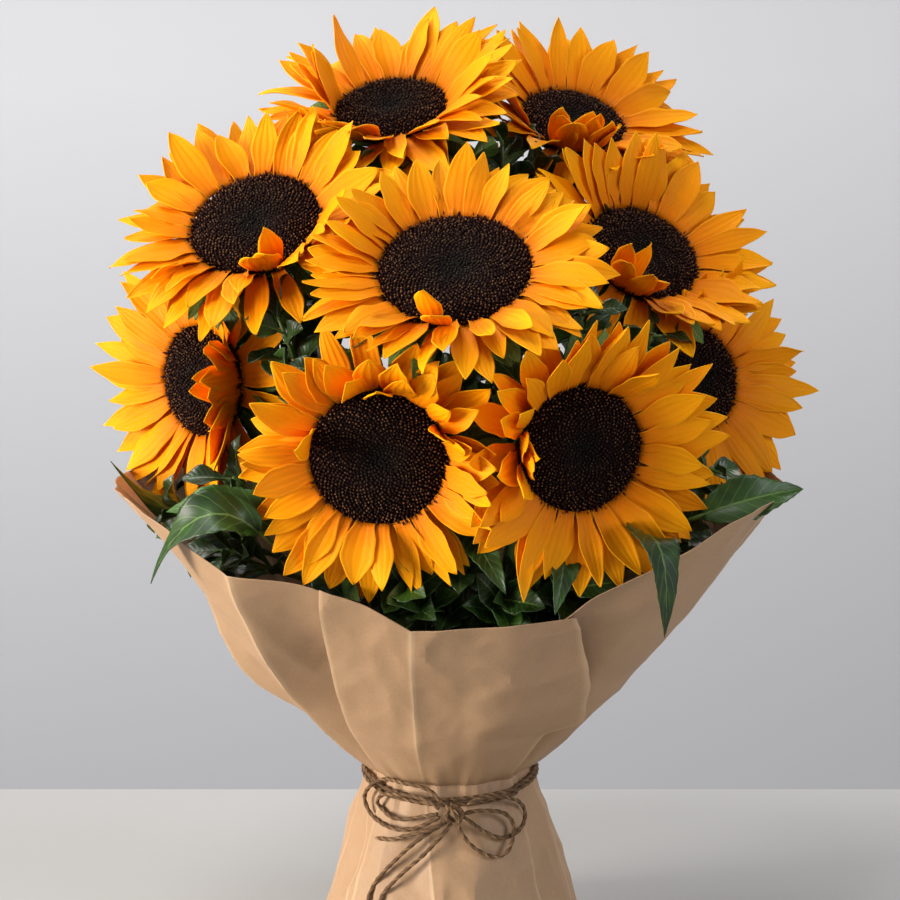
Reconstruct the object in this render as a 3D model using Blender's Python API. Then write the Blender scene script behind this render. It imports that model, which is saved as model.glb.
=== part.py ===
"""A bunch of cut sunflowers in a kraft-paper wrap, tied at the waist with jute twine.

Metres, +Z up. The origin is on the surface that the bunch stands on, at the cut end of the
middle stem, and the front faces -Y. The stems cross in a spiral at the tie and splay again
below it, so the bunch stands on their level ends inside the paper skirt.
"""

import math
from collections import namedtuple

import bmesh
import bpy
from mathutils import Matrix, Vector

MM = 0.001
GAP = 0.3 * MM  # between pieces that touch

# Stems: a spiral bundle, straight from the cut ends to the tie, then bending to the heads.
TIE_HEIGHT = 100 * MM
STEM_RADIUS = 5.5 * MM
NECK_RADIUS = 4.5 * MM
WAIST_RING = 27 * MM  # radius of the ring of stems at the tie
FOOT_RING = 50 * MM  # radius of the ring of cut ends
SPIRAL = math.radians(50)  # how far a stem turns round the bundle below the tie
RING_STEMS = 11  # round the middle stem
FIRST_SLOT = math.radians(-53)
NECK_LENGTH = 50 * MM  # the bent stretch behind a head
STEM_SIDES = 8
STEM_STEPS = 9

# Heads
DISC_SIDES = 20
DISC_RISE = 7 * MM  # from the cup's rim to the front of the disc
CUP_OVERHANG = 1.5 * MM
CUP_DEPTH = 13 * MM
PETAL_THICK = 1.2 * MM
PETAL_LOBES = 13
PETAL_CUP = 0.40  # rise of the petals for each unit that they reach outwards
LOBE_NOTCH = 0.86
SHORTEST_PETAL = 7 * MM

# Paper
PAPER_THICK = 1.2 * MM
WAIST_RADIUS = 42 * MM
SKIRT_SLOPE = 0.29
HEM_LIFT = 0.4 * MM  # the wall's inner edge hangs this much lower than its outer one
FLARE_CURVE = 0.85  # below 1, the wrap bulges between the tie and the rim
FLARE_LEVELS = (1.0, 0.8, 0.6, 0.42, 0.26, 0.12)
SKIRT_LEVELS = (0.0, 0.3, 0.65, 1.0)

# Twine
TWINE = 2.2 * MM
BAND_HEIGHT = 98 * MM
BAND_DIP = 5 * MM  # the band sits this much lower at the front and higher at the back
BAND_HALF = 2.3 * MM  # half the height of its two strands
BAND_POINTS = 44
CORD_STEP = 2.6 * TWINE
CORD_LIFT = 0.5 * TWINE + 0.5 * MM  # a cord's centreline above the paper

# Leaves
LEAF_THICK = 1.1 * MM
LEAF_STATIONS = (0.0, 0.15, 0.33, 0.52, 0.7, 0.86, 1.0)
STALK_WIDTH = 0.14  # of the leaf's width
LEAF_FOLD = 0.16  # how far the edges rise above the midrib, of the width

# Colours are linear RGB.
GREEN_STEM = (0.145, 0.215, 0.052)
DISC_BROWN = (0.022, 0.009, 0.006)
PETAL_YELLOW = (0.955, 0.430, 0.008)
LEAF_GREEN = (0.028, 0.072, 0.012)
KRAFT = (0.480, 0.305, 0.178)
JUTE = (0.205, 0.110, 0.048)

# place: middle of the disc's front, mm. facing: the way the head looks. disc and reach: the
# radii of the disc and of the petals, mm. slot: the stem's place in the bundle, None in the
# middle of it.
Flower = namedtuple("Flower", "place facing disc reach slot")
FLOWERS = (
    Flower((-30, 46, 430), (-0.11, -0.41, 0.905), 29, 66, None),
    Flower((64, 80, 420), (0.20, -0.45, 0.87), 27.5, 68, 3),
    Flower((-95, -26, 381), (-0.20, -0.60, 0.77), 33, 67, 7),
    Flower((2, -85, 368), (-0.08, -0.57, 0.82), 37, 71, 9),
    Flower((97, 11, 361), (0.35, -0.58, 0.74), 30, 64, 0),
    Flower((-125, -12, 299), (-0.70, -0.70, 0.05), 28, 62, 6),
    Flower((127, 17, 295), (0.62, -0.74, 0.26), 26, 60, 1),
    Flower((-34, -109, 280), (-0.10, -0.99, -0.08), 33, 62, 8),
    Flower((62, -103, 283), (0.30, -0.95, -0.02), 30.5, 58, 10),
    Flower((-108, 88, 335), (-0.58, 0.62, 0.53), 30, 62, 5),
    Flower((-8, 138, 352), (-0.05, 0.78, 0.62), 31, 64, 4),
    Flower((100, 112, 325), (0.58, 0.66, 0.48), 29, 62, 2),
)

# The wrap's creases, anticlockwise from the front: the angle, radius and height where each
# meets the rim, and the angle where it meets the tie. Degrees and mm.
Crease = namedtuple("Crease", "angle radius height tie_angle")
CREASES = (
    Crease(-98.7, 118, 200, -106),
    Crease(-88, 119, 202, -92),
    Crease(-74, 120, 202, -76),
    Crease(-62, 120, 200, -58),
    Crease(-56.5, 133, 214, -46),
    Crease(-46, 148, 230, -34),
    Crease(-35, 164, 247, -23),
    Crease(-22, 170, 251, -12),
    Crease(-8, 167, 248, 0),
    Crease(8, 163, 246, 13),
    Crease(24, 156, 246, 26),
    Crease(40, 149, 247, 39),
    Crease(56, 144, 248, 52),
    Crease(72, 137, 249, 65),
    Crease(88, 135, 250, 78),
    Crease(104, 137, 250, 92),
    Crease(120, 141, 249, 106),
    Crease(136, 146, 248, 120),
    Crease(152, 152, 247, 134),
    Crease(168, 158, 248, 148),
    Crease(184, 164, 250, 161),
    Crease(196, 168, 252, 173),
    Crease(206, 172, 254, 184),
    Crease(216, 165, 249, 194),
    Crease(226, 156, 241, 204),
    Crease(236, 146, 232, 214),
    Crease(244.7, 135, 220, 224),
    Crease(252, 127, 211, 239),
)

# Leaves: where each starts, passes and ends, and its width, mm.
Leaf = namedtuple("Leaf", "base middle tip width")
LEAVES = (
    Leaf((-82, -86, 232), (-114, -109, 253), (-142, -88, 215), 25),
    Leaf((-94, -76, 254), (-125, -90, 270), (-153, -80, 260), 21),
    Leaf((-105, -10, 216), (-139, -22, 236), (-166, -32, 263), 11),
    Leaf((8, -92, 244), (16, -108, 234), (26, -120, 218), 16),
    Leaf((55, -88, 236), (53, -104, 226), (49, -115, 207), 15),
    Leaf((86, -84, 212), (95, -109, 240), (99, -102, 197), 15),
    Leaf((122, -52, 250), (146, -58, 264), (171, -52, 256), 22),
    Leaf((-4, -62, 196), (-12, -84, 206), (-30, -106, 210), 22),
    Leaf((22, -62, 194), (26, -84, 204), (20, -104, 210), 18),
    Leaf((-52, -74, 200), (-48, -94, 212), (-42, -111, 212), 12),
    Leaf((-66, -42, 290), (-74, -58, 308), (-78, -68, 326), 20),
    Leaf((-52, -50, 268), (-62, -66, 290), (-66, -80, 304), 22),
    Leaf((62, -30, 300), (82, -46, 322), (98, -60, 330), 18),
    Leaf((30, 104, 262), (44, 138, 268), (52, 160, 248), 24),
)

# Routes of the free twine, mm: sideways, height, and clearance above the paper.
CORDS = {
    "twine_loop_left_outer": (
        (-4, 94, 2), (-9, 99, 1.6), (-15, 101.6, 1), (-24, 102, 0), (-33, 100.2, 0),
        (-40, 95.5, 0), (-43, 88.5, 0), (-41, 82.8, 0), (-36, 79.5, 0), (-28, 78.6, 0),
        (-19, 79.8, 0), (-11.5, 83.3, 0.4), (-5, 87.3, 1.5),
    ),
    "twine_loop_left_inner": (
        (-5.2, 92, 3), (-11, 95.6, 2.4), (-18.5, 96.8, 1.2), (-27, 96, 0.4), (-33.6, 93.4, 0),
        (-36.4, 89.6, 0), (-34.4, 86, 0), (-29.4, 83.9, 0), (-22.6, 83.9, 0), (-15.2, 86.2, 1),
        (-6, 89.6, 2.6),
    ),
    "twine_loop_right_upper": (
        (8.6, 93, 2), (12, 95, 1.6), (17.6, 96, 1), (27, 94.6, 0), (34.6, 89.8, 0), (37.6, 82.6, 0),
        (36, 76.8, 0), (31, 74, 0), (24.4, 74.9, 0), (15.4, 79.6, 0), (7.6, 86, 1.2),
    ),
    "twine_loop_right_lower": (
        (4, 84, 1.4), (5.4, 79.4, 0.6), (10, 73, 0), (17.4, 67.8, 0), (24, 66.2, 0.6),
        (29, 69, 2.2), (31.4, 74.4, 3.2), (31.4, 80.4, 2.4), (27.2, 86.2, 1.2), (20.4, 89.4, 1.2),
        (13.6, 90.2, 2), (9.2, 90, 3),
    ),
    "twine_tail_long_a": (
        (-1.6, 84.8, 1.6), (-5, 82.4, 1), (-11, 78.6, 0), (-18.8, 72.4, 0), (-26.2, 65, 0),
        (-33, 57.4, 0), (-38, 49.2, 0), (-41, 41.5, 0), (-42, 34, 0),
    ),
    "twine_tail_long_b": (
        (0.8, 84, 1.6), (-1.6, 80.6, 1), (-7, 74.6, 0), (-14, 67.4, 0), (-22, 60, 0),
        (-29, 52.6, 0), (-33.6, 45.6, 0), (-36.4, 38, 0),
    ),
    "twine_tail_short": (
        (-3.6, 84.4, 3.6), (-9.6, 82, 4.6), (-17, 79.2, 4.4), (-23, 76.6, 2.4), (-29, 73.6, 0.6),
        (-36.5, 71.4, 0),
    ),
}
KNOT_PLACE = (2, 89.5, 3.2)  # as a cord's point, for its middle
KNOT_SIZE = (5.4, 3.0, 4.6)  # half sizes, mm


def material(name, colour, roughness):
    """A Principled material of one plain colour."""
    made = bpy.data.materials.new(name)
    made.use_nodes = True
    shader = made.node_tree.nodes["Principled BSDF"]
    shader.inputs["Base Color"].default_value = (*colour, 1.0)
    shader.inputs["Roughness"].default_value = roughness
    shader.inputs["Metallic"].default_value = 0.0
    made.diffuse_color = (*colour, 1.0)
    return made


def add_object(name, shape, finish, closed=True):
    """Puts a bmesh into the scene as one object, and faces a closed one outwards."""
    if closed:
        bmesh.ops.recalc_face_normals(shape, faces=shape.faces[:])
    mesh = bpy.data.meshes.new(name)
    shape.to_mesh(mesh)
    shape.free()
    mesh.shade_smooth()
    mesh.set_sharp_from_angle(angle=math.radians(40))
    mesh.materials.append(finish)
    thing = bpy.data.objects.new(name, mesh)
    bpy.context.scene.collection.objects.link(thing)
    return thing


def skin_rings(shape, rings, closed=False, caps=True):
    """Joins rings of equally many points into a skin, with caps, or end to end."""
    loops = [[shape.verts.new(point) for point in ring] for ring in rings]
    pairs = list(zip(loops, loops[1:]))
    if closed:
        pairs.append((loops[-1], loops[0]))
    for near, far in pairs:
        count = len(near)
        for i in range(count):
            j = (i + 1) % count
            shape.faces.new((near[i], near[j], far[j], far[i]))
    if caps and not closed:
        shape.faces.new(loops[0])
        shape.faces.new(loops[-1])
    return loops


def across(direction):
    """Two unit vectors square to a direction, and to each other."""
    hint = Vector((0, 0, 1)) if abs(direction.z) < 0.9 else Vector((1, 0, 0))
    side = direction.cross(hint).normalized()
    return side, direction.cross(side).normalized()


def polar(radius, angle, height):
    return Vector((radius * math.cos(angle), radius * math.sin(angle), height))


def bezier(a, b, c, d, t):
    u = 1 - t
    return a * u**3 + b * (3 * u * u * t) + c * (3 * u * t * t) + d * t**3


# ---------------------------------------------------------------- stems


def cup_base(flower):
    """The middle of the plane where a flower's cup ends and its disc begins."""
    return Vector(flower.place) * MM - Vector(flower.facing).normalized() * DISC_RISE


def stem_path(flower):
    """The centreline from the cut end to the back of the cup, then the radii along it."""
    facing = Vector(flower.facing).normalized()
    back = cup_base(flower) - facing * CUP_DEPTH
    if flower.slot is None:
        foot = Vector((0, 0, 0))
        waist = Vector((0, 0, TIE_HEIGHT))
    else:
        angle = FIRST_SLOT + 2 * math.pi * flower.slot / RING_STEMS
        foot = polar(FOOT_RING, angle - SPIRAL, 0)
        waist = polar(WAIST_RING, angle, TIE_HEIGHT)
    lean = (waist - foot).normalized()
    span = (back - waist).length
    points = [foot, foot.lerp(waist, 0.5), waist]
    for step in range(1, STEM_STEPS + 1):
        t = step / STEM_STEPS
        points.append(
            bezier(waist, waist + lean * span * 0.4, back - facing * NECK_LENGTH, back, t)
        )
    last = len(points) - 1
    radii = [STEM_RADIUS + (NECK_RADIUS - STEM_RADIUS) * i / last for i in range(last + 1)]
    return points, radii


def make_stem(name, flower, finish):
    """A round stem with a level cut end, opening into the green cup behind the disc."""
    points, radii = stem_path(flower)
    facing = Vector(flower.facing).normalized()
    rim = flower.disc * MM + CUP_OVERHANG
    for depth, radius in ((0.55, 0.45), (0.18, 0.86), (0.0, 1.0)):
        points.append(cup_base(flower) - facing * CUP_DEPTH * depth)
        radii.append(rim * radius)
    rings = []
    side = None
    for i, point in enumerate(points):
        ahead = points[min(i + 1, len(points) - 1)] - points[max(i - 1, 0)]
        along = facing if i >= len(points) - 3 else ahead.normalized()
        if side is None:
            side, _ = across(along)
        side = (side - along * side.dot(along)).normalized()
        up = along.cross(side)
        ring = []
        for k in range(STEM_SIDES):
            turn = 2 * math.pi * k / STEM_SIDES
            ring.append(point + (side * math.cos(turn) + up * math.sin(turn)) * radii[i])
        if i == 0:
            ring = [corner - along * (corner.z / along.z) for corner in ring]
        rings.append(ring)
    shape = bmesh.new()
    skin_rings(shape, rings)
    return add_object(name, shape, finish)


# ---------------------------------------------------------------- heads


def head_matrix(flower):
    """From a head's own axes, with +Z out of its face, to the world."""
    facing = Vector(flower.facing).normalized()
    side, up = across(facing)
    turn = Matrix((side, up, facing)).transposed().to_4x4()
    return Matrix.Translation(cup_base(flower)) @ turn


def make_disc(name, flower, finish):
    """The seed disc: a low dome with a rounded edge and a slight dip in the middle."""
    radius = flower.disc * MM
    profile = (
        (radius - 3 * MM, GAP),
        (radius, 3 * MM),
        (radius - 2 * MM, 5.6 * MM),
        (radius * 0.55, DISC_RISE + 1 * MM),
        (radius * 0.2, DISC_RISE),
    )
    rings = []
    for reach, height in profile:
        rings.append(
            [polar(reach, 2 * math.pi * k / DISC_SIDES, height) for k in range(DISC_SIDES)]
        )
    shape = bmesh.new()
    skin_rings(shape, rings)
    shape.transform(head_matrix(flower))
    return add_object(name, shape, finish)


def crowds(point, flower):
    """Whether a point is nearer to another flower's head than to its own."""
    own = Vector(flower.place) * MM
    for other in FLOWERS:
        if other is flower:
            continue
        between = Vector(other.place) * MM - own
        if (point - own).dot(between.normalized()) > between.length / 2 - PETAL_THICK:
            return True
    return False


def make_petal_ring(name, flower, finish):
    """The rays as one dished ring with pointed lobes, shortened where a neighbour is close."""
    disc = flower.disc * MM
    place = head_matrix(flower)
    count = 2 * PETAL_LOBES
    inner, middle, outer = [], [], []
    for k in range(count):
        angle = 2 * math.pi * k / count
        length = flower.reach * MM - disc
        if k % 2:
            length *= LOBE_NOTCH
        while length > SHORTEST_PETAL and crowds(
            place @ polar(disc + length, angle, PETAL_CUP * length), flower
        ):
            length -= 1 * MM
        inner.append(polar(disc + 2 * GAP, angle, 2 * GAP))
        middle.append(polar(disc + 0.5 * length, angle, 2 * GAP + 0.42 * PETAL_CUP * length))
        outer.append(polar(disc + length, angle, 2 * GAP + PETAL_CUP * length))
    lift = Vector((0, 0, PETAL_THICK))
    under = [inner, middle, outer]
    over = [[point + lift for point in ring] for ring in reversed(under)]
    shape = bmesh.new()
    skin_rings(shape, under + over, closed=True)
    shape.transform(place)
    return add_object(name, shape, finish)


# ---------------------------------------------------------------- paper


def flare_point(crease, level):
    """A point of the wrap above the tie: level 0 at the tie, 1 at the rim."""
    angle = math.radians(crease.tie_angle + (crease.angle - crease.tie_angle) * level**0.7)
    radius = WAIST_RADIUS + (crease.radius * MM - WAIST_RADIUS) * level**FLARE_CURVE
    return polar(radius, angle, TIE_HEIGHT + (crease.height * MM - TIE_HEIGHT) * level)


def skirt_point(crease, level):
    """A point of the skirt: level 0 at the tie, 1 at the surface it stands on."""
    drop = (TIE_HEIGHT - HEM_LIFT) * level
    return polar(
        WAIST_RADIUS + SKIRT_SLOPE * drop, math.radians(crease.tie_angle), TIE_HEIGHT - drop
    )


def make_paper(name, finish):
    """The sheet as one shell, open at the rim and at the hem."""
    rings = [[flare_point(crease, level) for crease in CREASES] for level in FLARE_LEVELS]
    rings += [[skirt_point(crease, level) for crease in CREASES] for level in SKIRT_LEVELS]
    shape = bmesh.new()
    skin_rings(shape, rings, caps=False)
    bmesh.ops.triangulate(shape, faces=shape.faces[:])
    bmesh.ops.reverse_faces(shape, faces=shape.faces[:])
    wrap = add_object(name, shape, finish, closed=False)
    wall = wrap.modifiers.new("wall", "SOLIDIFY")
    wall.thickness = PAPER_THICK
    wall.offset = -1
    return wrap


def paper_radius(angle, height):
    """How far the paper's outside is from the axis, for the twine that lies on it."""
    if height <= TIE_HEIGHT:
        return WAIST_RADIUS + SKIRT_SLOPE * (TIE_HEIGHT - height)
    turn = math.degrees(angle)
    near = min(CREASES, key=lambda crease: abs((crease.tie_angle - turn + 180) % 360 - 180))
    level = (height - TIE_HEIGHT) / (near.height * MM - TIE_HEIGHT)
    return WAIST_RADIUS + (near.radius * MM - WAIST_RADIUS) * level**FLARE_CURVE


# ---------------------------------------------------------------- twine


def band_height(angle):
    """The band's middle: lowest at the front, where the knot pulls it down."""
    return BAND_HEIGHT + BAND_DIP * math.sin(angle)


def over_band(angle, height):
    """How much further out a cord lies where it passes over the band, and beside it."""
    apart = abs(height - band_height(angle))
    share = 1 - min(1, max(0, apart - BAND_HALF - TWINE) / BAND_HALF)
    return (TWINE + 3 * GAP) * share


def make_band(name, finish):
    """Two strands side by side round the waist, as one flat oval ring."""
    half_high = BAND_HALF
    half_deep = 0.5 * TWINE
    rings = []
    for i in range(BAND_POINTS):
        angle = 2 * math.pi * i / BAND_POINTS
        height = band_height(angle)
        reach = max(paper_radius(angle, height + side * half_high) for side in (-1, 1))
        centre = polar(reach + half_deep + GAP, angle, height)
        outward = polar(1, angle, 0)
        ring = []
        for k in range(6):
            turn = 2 * math.pi * k / 6
            ring.append(
                centre
                + outward * half_deep * math.cos(turn)
                + Vector((0, 0, half_high * math.sin(turn)))
            )
        rings.append(ring)
    shape = bmesh.new()
    skin_rings(shape, rings, closed=True)
    return add_object(name, shape, finish)


def on_skirt(sideways, height, clearance):
    """A point in front of the paper, given in mm as a cord's route is."""
    x, z = sideways * MM, height * MM
    reach = CORD_LIFT + clearance * MM + over_band(math.atan2(-WAIST_RADIUS, x), z)
    angle = math.atan2(-math.sqrt(WAIST_RADIUS**2 - min(x * x, 0.9 * WAIST_RADIUS**2)), x)
    radius = paper_radius(angle, z) + reach
    return Vector((x, -math.sqrt(radius * radius - x * x), z))


def smooth_route(points, step):
    """Evenly spaced points on a smooth curve through a route's own points."""
    fine = []
    for i in range(len(points) - 1):
        a = points[max(i - 1, 0)]
        b, c = points[i], points[i + 1]
        d = points[min(i + 2, len(points) - 1)]
        for k in range(12):
            t = k / 12
            fine.append(bezier(b, b + (c - a) / 6, c - (d - b) / 6, c, t))
    fine.append(points[-1])
    total = sum((b - a).length for a, b in zip(fine, fine[1:]))
    count = max(4, round(total / step))
    spaced = [fine[0]]
    gone, wanted = 0.0, total / count
    for a, b in zip(fine, fine[1:]):
        run = (b - a).length
        while gone + run >= wanted and len(spaced) < count:
            spaced.append(a.lerp(b, (wanted - gone) / run))
            wanted += total / count
        gone += run
    spaced.append(fine[-1])
    return spaced


def make_cord(name, route, finish):
    """A free length of twine as a round tube."""
    points = smooth_route([on_skirt(*place) for place in route], CORD_STEP)
    curve = bpy.data.curves.new(name, "CURVE")
    curve.dimensions = "3D"
    curve.bevel_depth = TWINE / 2
    curve.bevel_resolution = 2
    curve.use_fill_caps = True
    spline = curve.splines.new("POLY")
    spline.points.add(len(points) - 1)
    for knot, point in zip(spline.points, points):
        knot.co = (*point, 1)
    curve.materials.append(finish)
    cord = bpy.data.objects.new(name, curve)
    bpy.context.scene.collection.objects.link(cord)
    return cord


def make_knot(name, finish):
    """The knot's outer shape: a small lump against the band."""
    shape = bmesh.new()
    bmesh.ops.create_uvsphere(shape, u_segments=12, v_segments=7, radius=1)
    size = Matrix.Diagonal((*(half * MM for half in KNOT_SIZE), 1))
    shape.transform(Matrix.Translation(on_skirt(*KNOT_PLACE)) @ size)
    return add_object(name, shape, finish)


# ---------------------------------------------------------------- leaves


def make_leaf(name, leaf, finish):
    """A thin blade folded along its midrib, from a narrow stalk to a narrow tip."""
    base, middle, tip = (Vector(point) * MM for point in leaf[:3])
    bend = middle * 2 - (base + tip) / 2
    rings = []
    for t in LEAF_STATIONS:
        point = base * (1 - t) ** 2 + bend * (2 * t * (1 - t)) + tip * t**2
        along = ((bend - base) * (1 - t) + (tip - bend) * t).normalized()
        outward = Vector((point.x, point.y, 0.6 * point.xy.length)).normalized()
        side = along.cross(outward).normalized()
        face = side.cross(along)
        swell = math.sin(math.pi * t**0.75) ** 0.8 if 0 < t < 1 else 0.0
        half = 0.5 * leaf.width * MM * max(STALK_WIDTH, swell)
        edge = face * LEAF_FOLD * half * 2
        under = [point - side * half + edge, point, point + side * half + edge]
        over = [corner + face * LEAF_THICK for corner in reversed(under)]
        rings.append(under + over)
    shape = bmesh.new()
    skin_rings(shape, rings)
    bmesh.ops.triangulate(shape, faces=shape.faces[:])
    return add_object(name, shape, finish)


# ---------------------------------------------------------------- assembly


def main():
    for old in list(bpy.data.objects):
        bpy.data.objects.remove(old)

    stem_green = material("stem_green", GREEN_STEM, 0.6)
    disc_brown = material("disc_brown", DISC_BROWN, 0.85)
    petal_yellow = material("petal_yellow", PETAL_YELLOW, 0.5)
    for number, flower in enumerate(FLOWERS, start=1):
        make_stem(f"stem_{number:02d}", flower, stem_green)
        make_disc(f"seed_disc_{number:02d}", flower, disc_brown)
        make_petal_ring(f"petal_ring_{number:02d}", flower, petal_yellow)

    leaf_green = material("leaf_green", LEAF_GREEN, 0.45)
    for number, leaf in enumerate(LEAVES, start=1):
        make_leaf(f"leaf_{number:02d}", leaf, leaf_green)

    make_paper("paper_wrap", material("kraft_paper", KRAFT, 0.8))

    jute = material("jute", JUTE, 0.9)
    make_band("twine_band", jute)
    make_knot("twine_knot", jute)
    for name, route in CORDS.items():
        make_cord(name, route, jute)


main()
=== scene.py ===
"""The looks of a tied bunch of sunflowers in kraft paper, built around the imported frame.

Every piece takes its place from the frame's nodes: a head from its seed disc, a stem from its
cut end, its place at the tie and its head. Metres, +Z up, the front faces -Y.
"""

import logging
import math
from collections import defaultdict
from dataclasses import dataclass
from enum import Enum

import bpy
import numpy as np
from mathutils import Matrix, Vector, noise


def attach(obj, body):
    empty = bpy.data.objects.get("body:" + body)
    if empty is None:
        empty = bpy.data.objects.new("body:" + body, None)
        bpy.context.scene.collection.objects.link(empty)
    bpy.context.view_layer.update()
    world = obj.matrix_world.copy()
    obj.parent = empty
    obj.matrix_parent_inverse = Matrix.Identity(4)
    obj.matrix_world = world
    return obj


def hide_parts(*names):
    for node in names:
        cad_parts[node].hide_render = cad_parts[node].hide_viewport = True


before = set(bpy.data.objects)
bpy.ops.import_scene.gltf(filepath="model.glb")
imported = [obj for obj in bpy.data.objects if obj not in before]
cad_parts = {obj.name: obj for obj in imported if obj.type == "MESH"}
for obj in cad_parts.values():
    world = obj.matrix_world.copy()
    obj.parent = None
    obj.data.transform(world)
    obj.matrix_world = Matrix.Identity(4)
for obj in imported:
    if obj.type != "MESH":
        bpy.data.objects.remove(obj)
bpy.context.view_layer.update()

MM = 0.001
BODY = "root"
GOLDEN_ANGLE = math.radians(137.508)
log = logging.getLogger("sunflowers")
Feed = tuple[bpy.types.Node, str | int]
Marks = dict[str, float | np.ndarray]

# Sizes shared with the frame.
TIE_HEIGHT = 100 * MM
CUP_DEPTH = 13 * MM
NECK_LENGTH = 50 * MM
WAIST_RADIUS = 42 * MM
SKIRT_SLOPE = 0.29
FLARE_CURVE = 0.85
HEM_LIFT = 0.4 * MM
TWINE = 2.2 * MM
BAND_HEIGHT = 98 * MM
BAND_DIP = 5 * MM
BAND_HALF = 2.3 * MM
CORD_LIFT = 0.5 * TWINE + 0.5 * MM
GAP = 0.3 * MM

# Sizes shared by a finish and the piece that wears it.
PETAL_HALF = 7 * MM
VEIN_SLANT = 1.7
BACKDROP_DROP = 0.9


# ---------------------------------------------------------------- colour and nodes


def linear(code: str) -> tuple[float, float, float, float]:
    """Turns an sRGB hex colour, such as "#be9b76", into linear RGBA."""
    channels = [int(code[i : i + 2], 16) / 255 for i in (1, 3, 5)]
    bright = [c / 12.92 if c <= 0.04045 else ((c + 0.055) / 1.055) ** 2.4 for c in channels]
    return (*bright, 1.0)


class Recipe:
    """A material's node tree, built round one Principled shader.

    A feed is a node and the name or number of its output. A socket takes a feed, a number, a
    row of numbers or a hex colour.
    """

    def __init__(self, name: str) -> None:
        """Makes the material, with its output linked to the shader."""
        self.material = bpy.data.materials.new(name)
        self.material.use_nodes = True
        self.tree = self.material.node_tree
        self.tree.nodes.clear()
        surface = self.add("BsdfPrincipled", "BSDF", {})
        self.shader = surface[0]
        self.add("OutputMaterial", "", {"Surface": surface})

    def feed(self, node: bpy.types.Node, sockets: dict) -> None:
        """Sets or links a node's sockets, given by name or number."""
        for key, value in sockets.items():
            if isinstance(value, tuple) and isinstance(value[0], bpy.types.Node):
                self.tree.links.new(value[0].outputs[value[1]], node.inputs[key])
            else:
                code = isinstance(value, str)
                node.inputs[key].default_value = linear(value) if code else value

    def add(self, kind: str, output: str | int, sockets: dict, **settings: str) -> Feed:
        """Adds a node.

        Args:
            kind: its type, without the ShaderNode prefix.
            output: the output that is read.
            sockets: what its sockets take.
            settings: its properties.

        Returns:
            The node and that output.
        """
        node = self.tree.nodes.new("ShaderNode" + kind)
        for key, value in settings.items():
            setattr(node, key, value)
        self.feed(node, sockets)
        return node, output

    def mark(self, name: str) -> Feed:
        """Reads a number that the mesh holds on its points."""
        return self.add("Attribute", "Fac", {}, attribute_name=name)

    def place(self) -> Feed:
        """Reads where a point is on its object."""
        return self.add("TexCoord", "Object", {})

    def maths(self, operation: str, first: Feed | float, second: Feed | float = 0.0) -> Feed:
        """Works on two numbers."""
        return self.add("Math", "Value", {0: first, 1: second}, operation=operation)

    def times(self, first: Feed, second: Feed | float) -> Feed:
        """Multiplies two numbers."""
        return self.maths("MULTIPLY", first, second)

    def mix(self, share: Feed | float, first: Feed | str, second: Feed | str) -> Feed:
        """Mixes two colours, the first at a share of 0 and the second at 1."""
        return self.add("Mix", 2, {0: share, 6: first, 7: second}, data_type="RGBA")

    def noise(self, vector: Feed, scale: float, detail: float, roughness: float = 0.5) -> Feed:
        """Makes a cloudy number in space."""
        sockets = {"Vector": vector, "Scale": scale, "Detail": detail, "Roughness": roughness}
        return self.add("TexNoise", "Fac", sockets)

    def ramp(self, source: Feed, *stops: tuple[float, str]) -> Feed:
        """Turns a number into a colour, by stops of a position and a colour, in order."""
        node, output = self.add("ValToRGB", "Color", {"Fac": source})
        elements = node.color_ramp.elements
        while len(elements) < len(stops):
            elements.new(1.0)
        for element, (position, code) in zip(elements, stops):
            element.position = position
            element.color = linear(code)
        return node, output

    def finish(
        self, colour: Feed, sockets: dict, relief: Feed | None = None, bump: tuple = (0.0, 0.0)
    ) -> bpy.types.Material:
        """Feeds the shader.

        Args:
            colour: the base colour.
            sockets: the shader's own values.
            relief: the height of the surface's fine relief, if it has one.
            bump: that relief's strength and distance.

        Returns:
            The finished material.
        """
        self.feed(self.shader, {"Base Color": colour, **sockets})
        if relief:
            heights = {"Height": relief, "Strength": bump[0], "Distance": bump[1]}
            self.feed(self.shader, {"Normal": self.add("Bump", "Normal", heights)})
        return self.material


# ---------------------------------------------------------------- meshes


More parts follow.
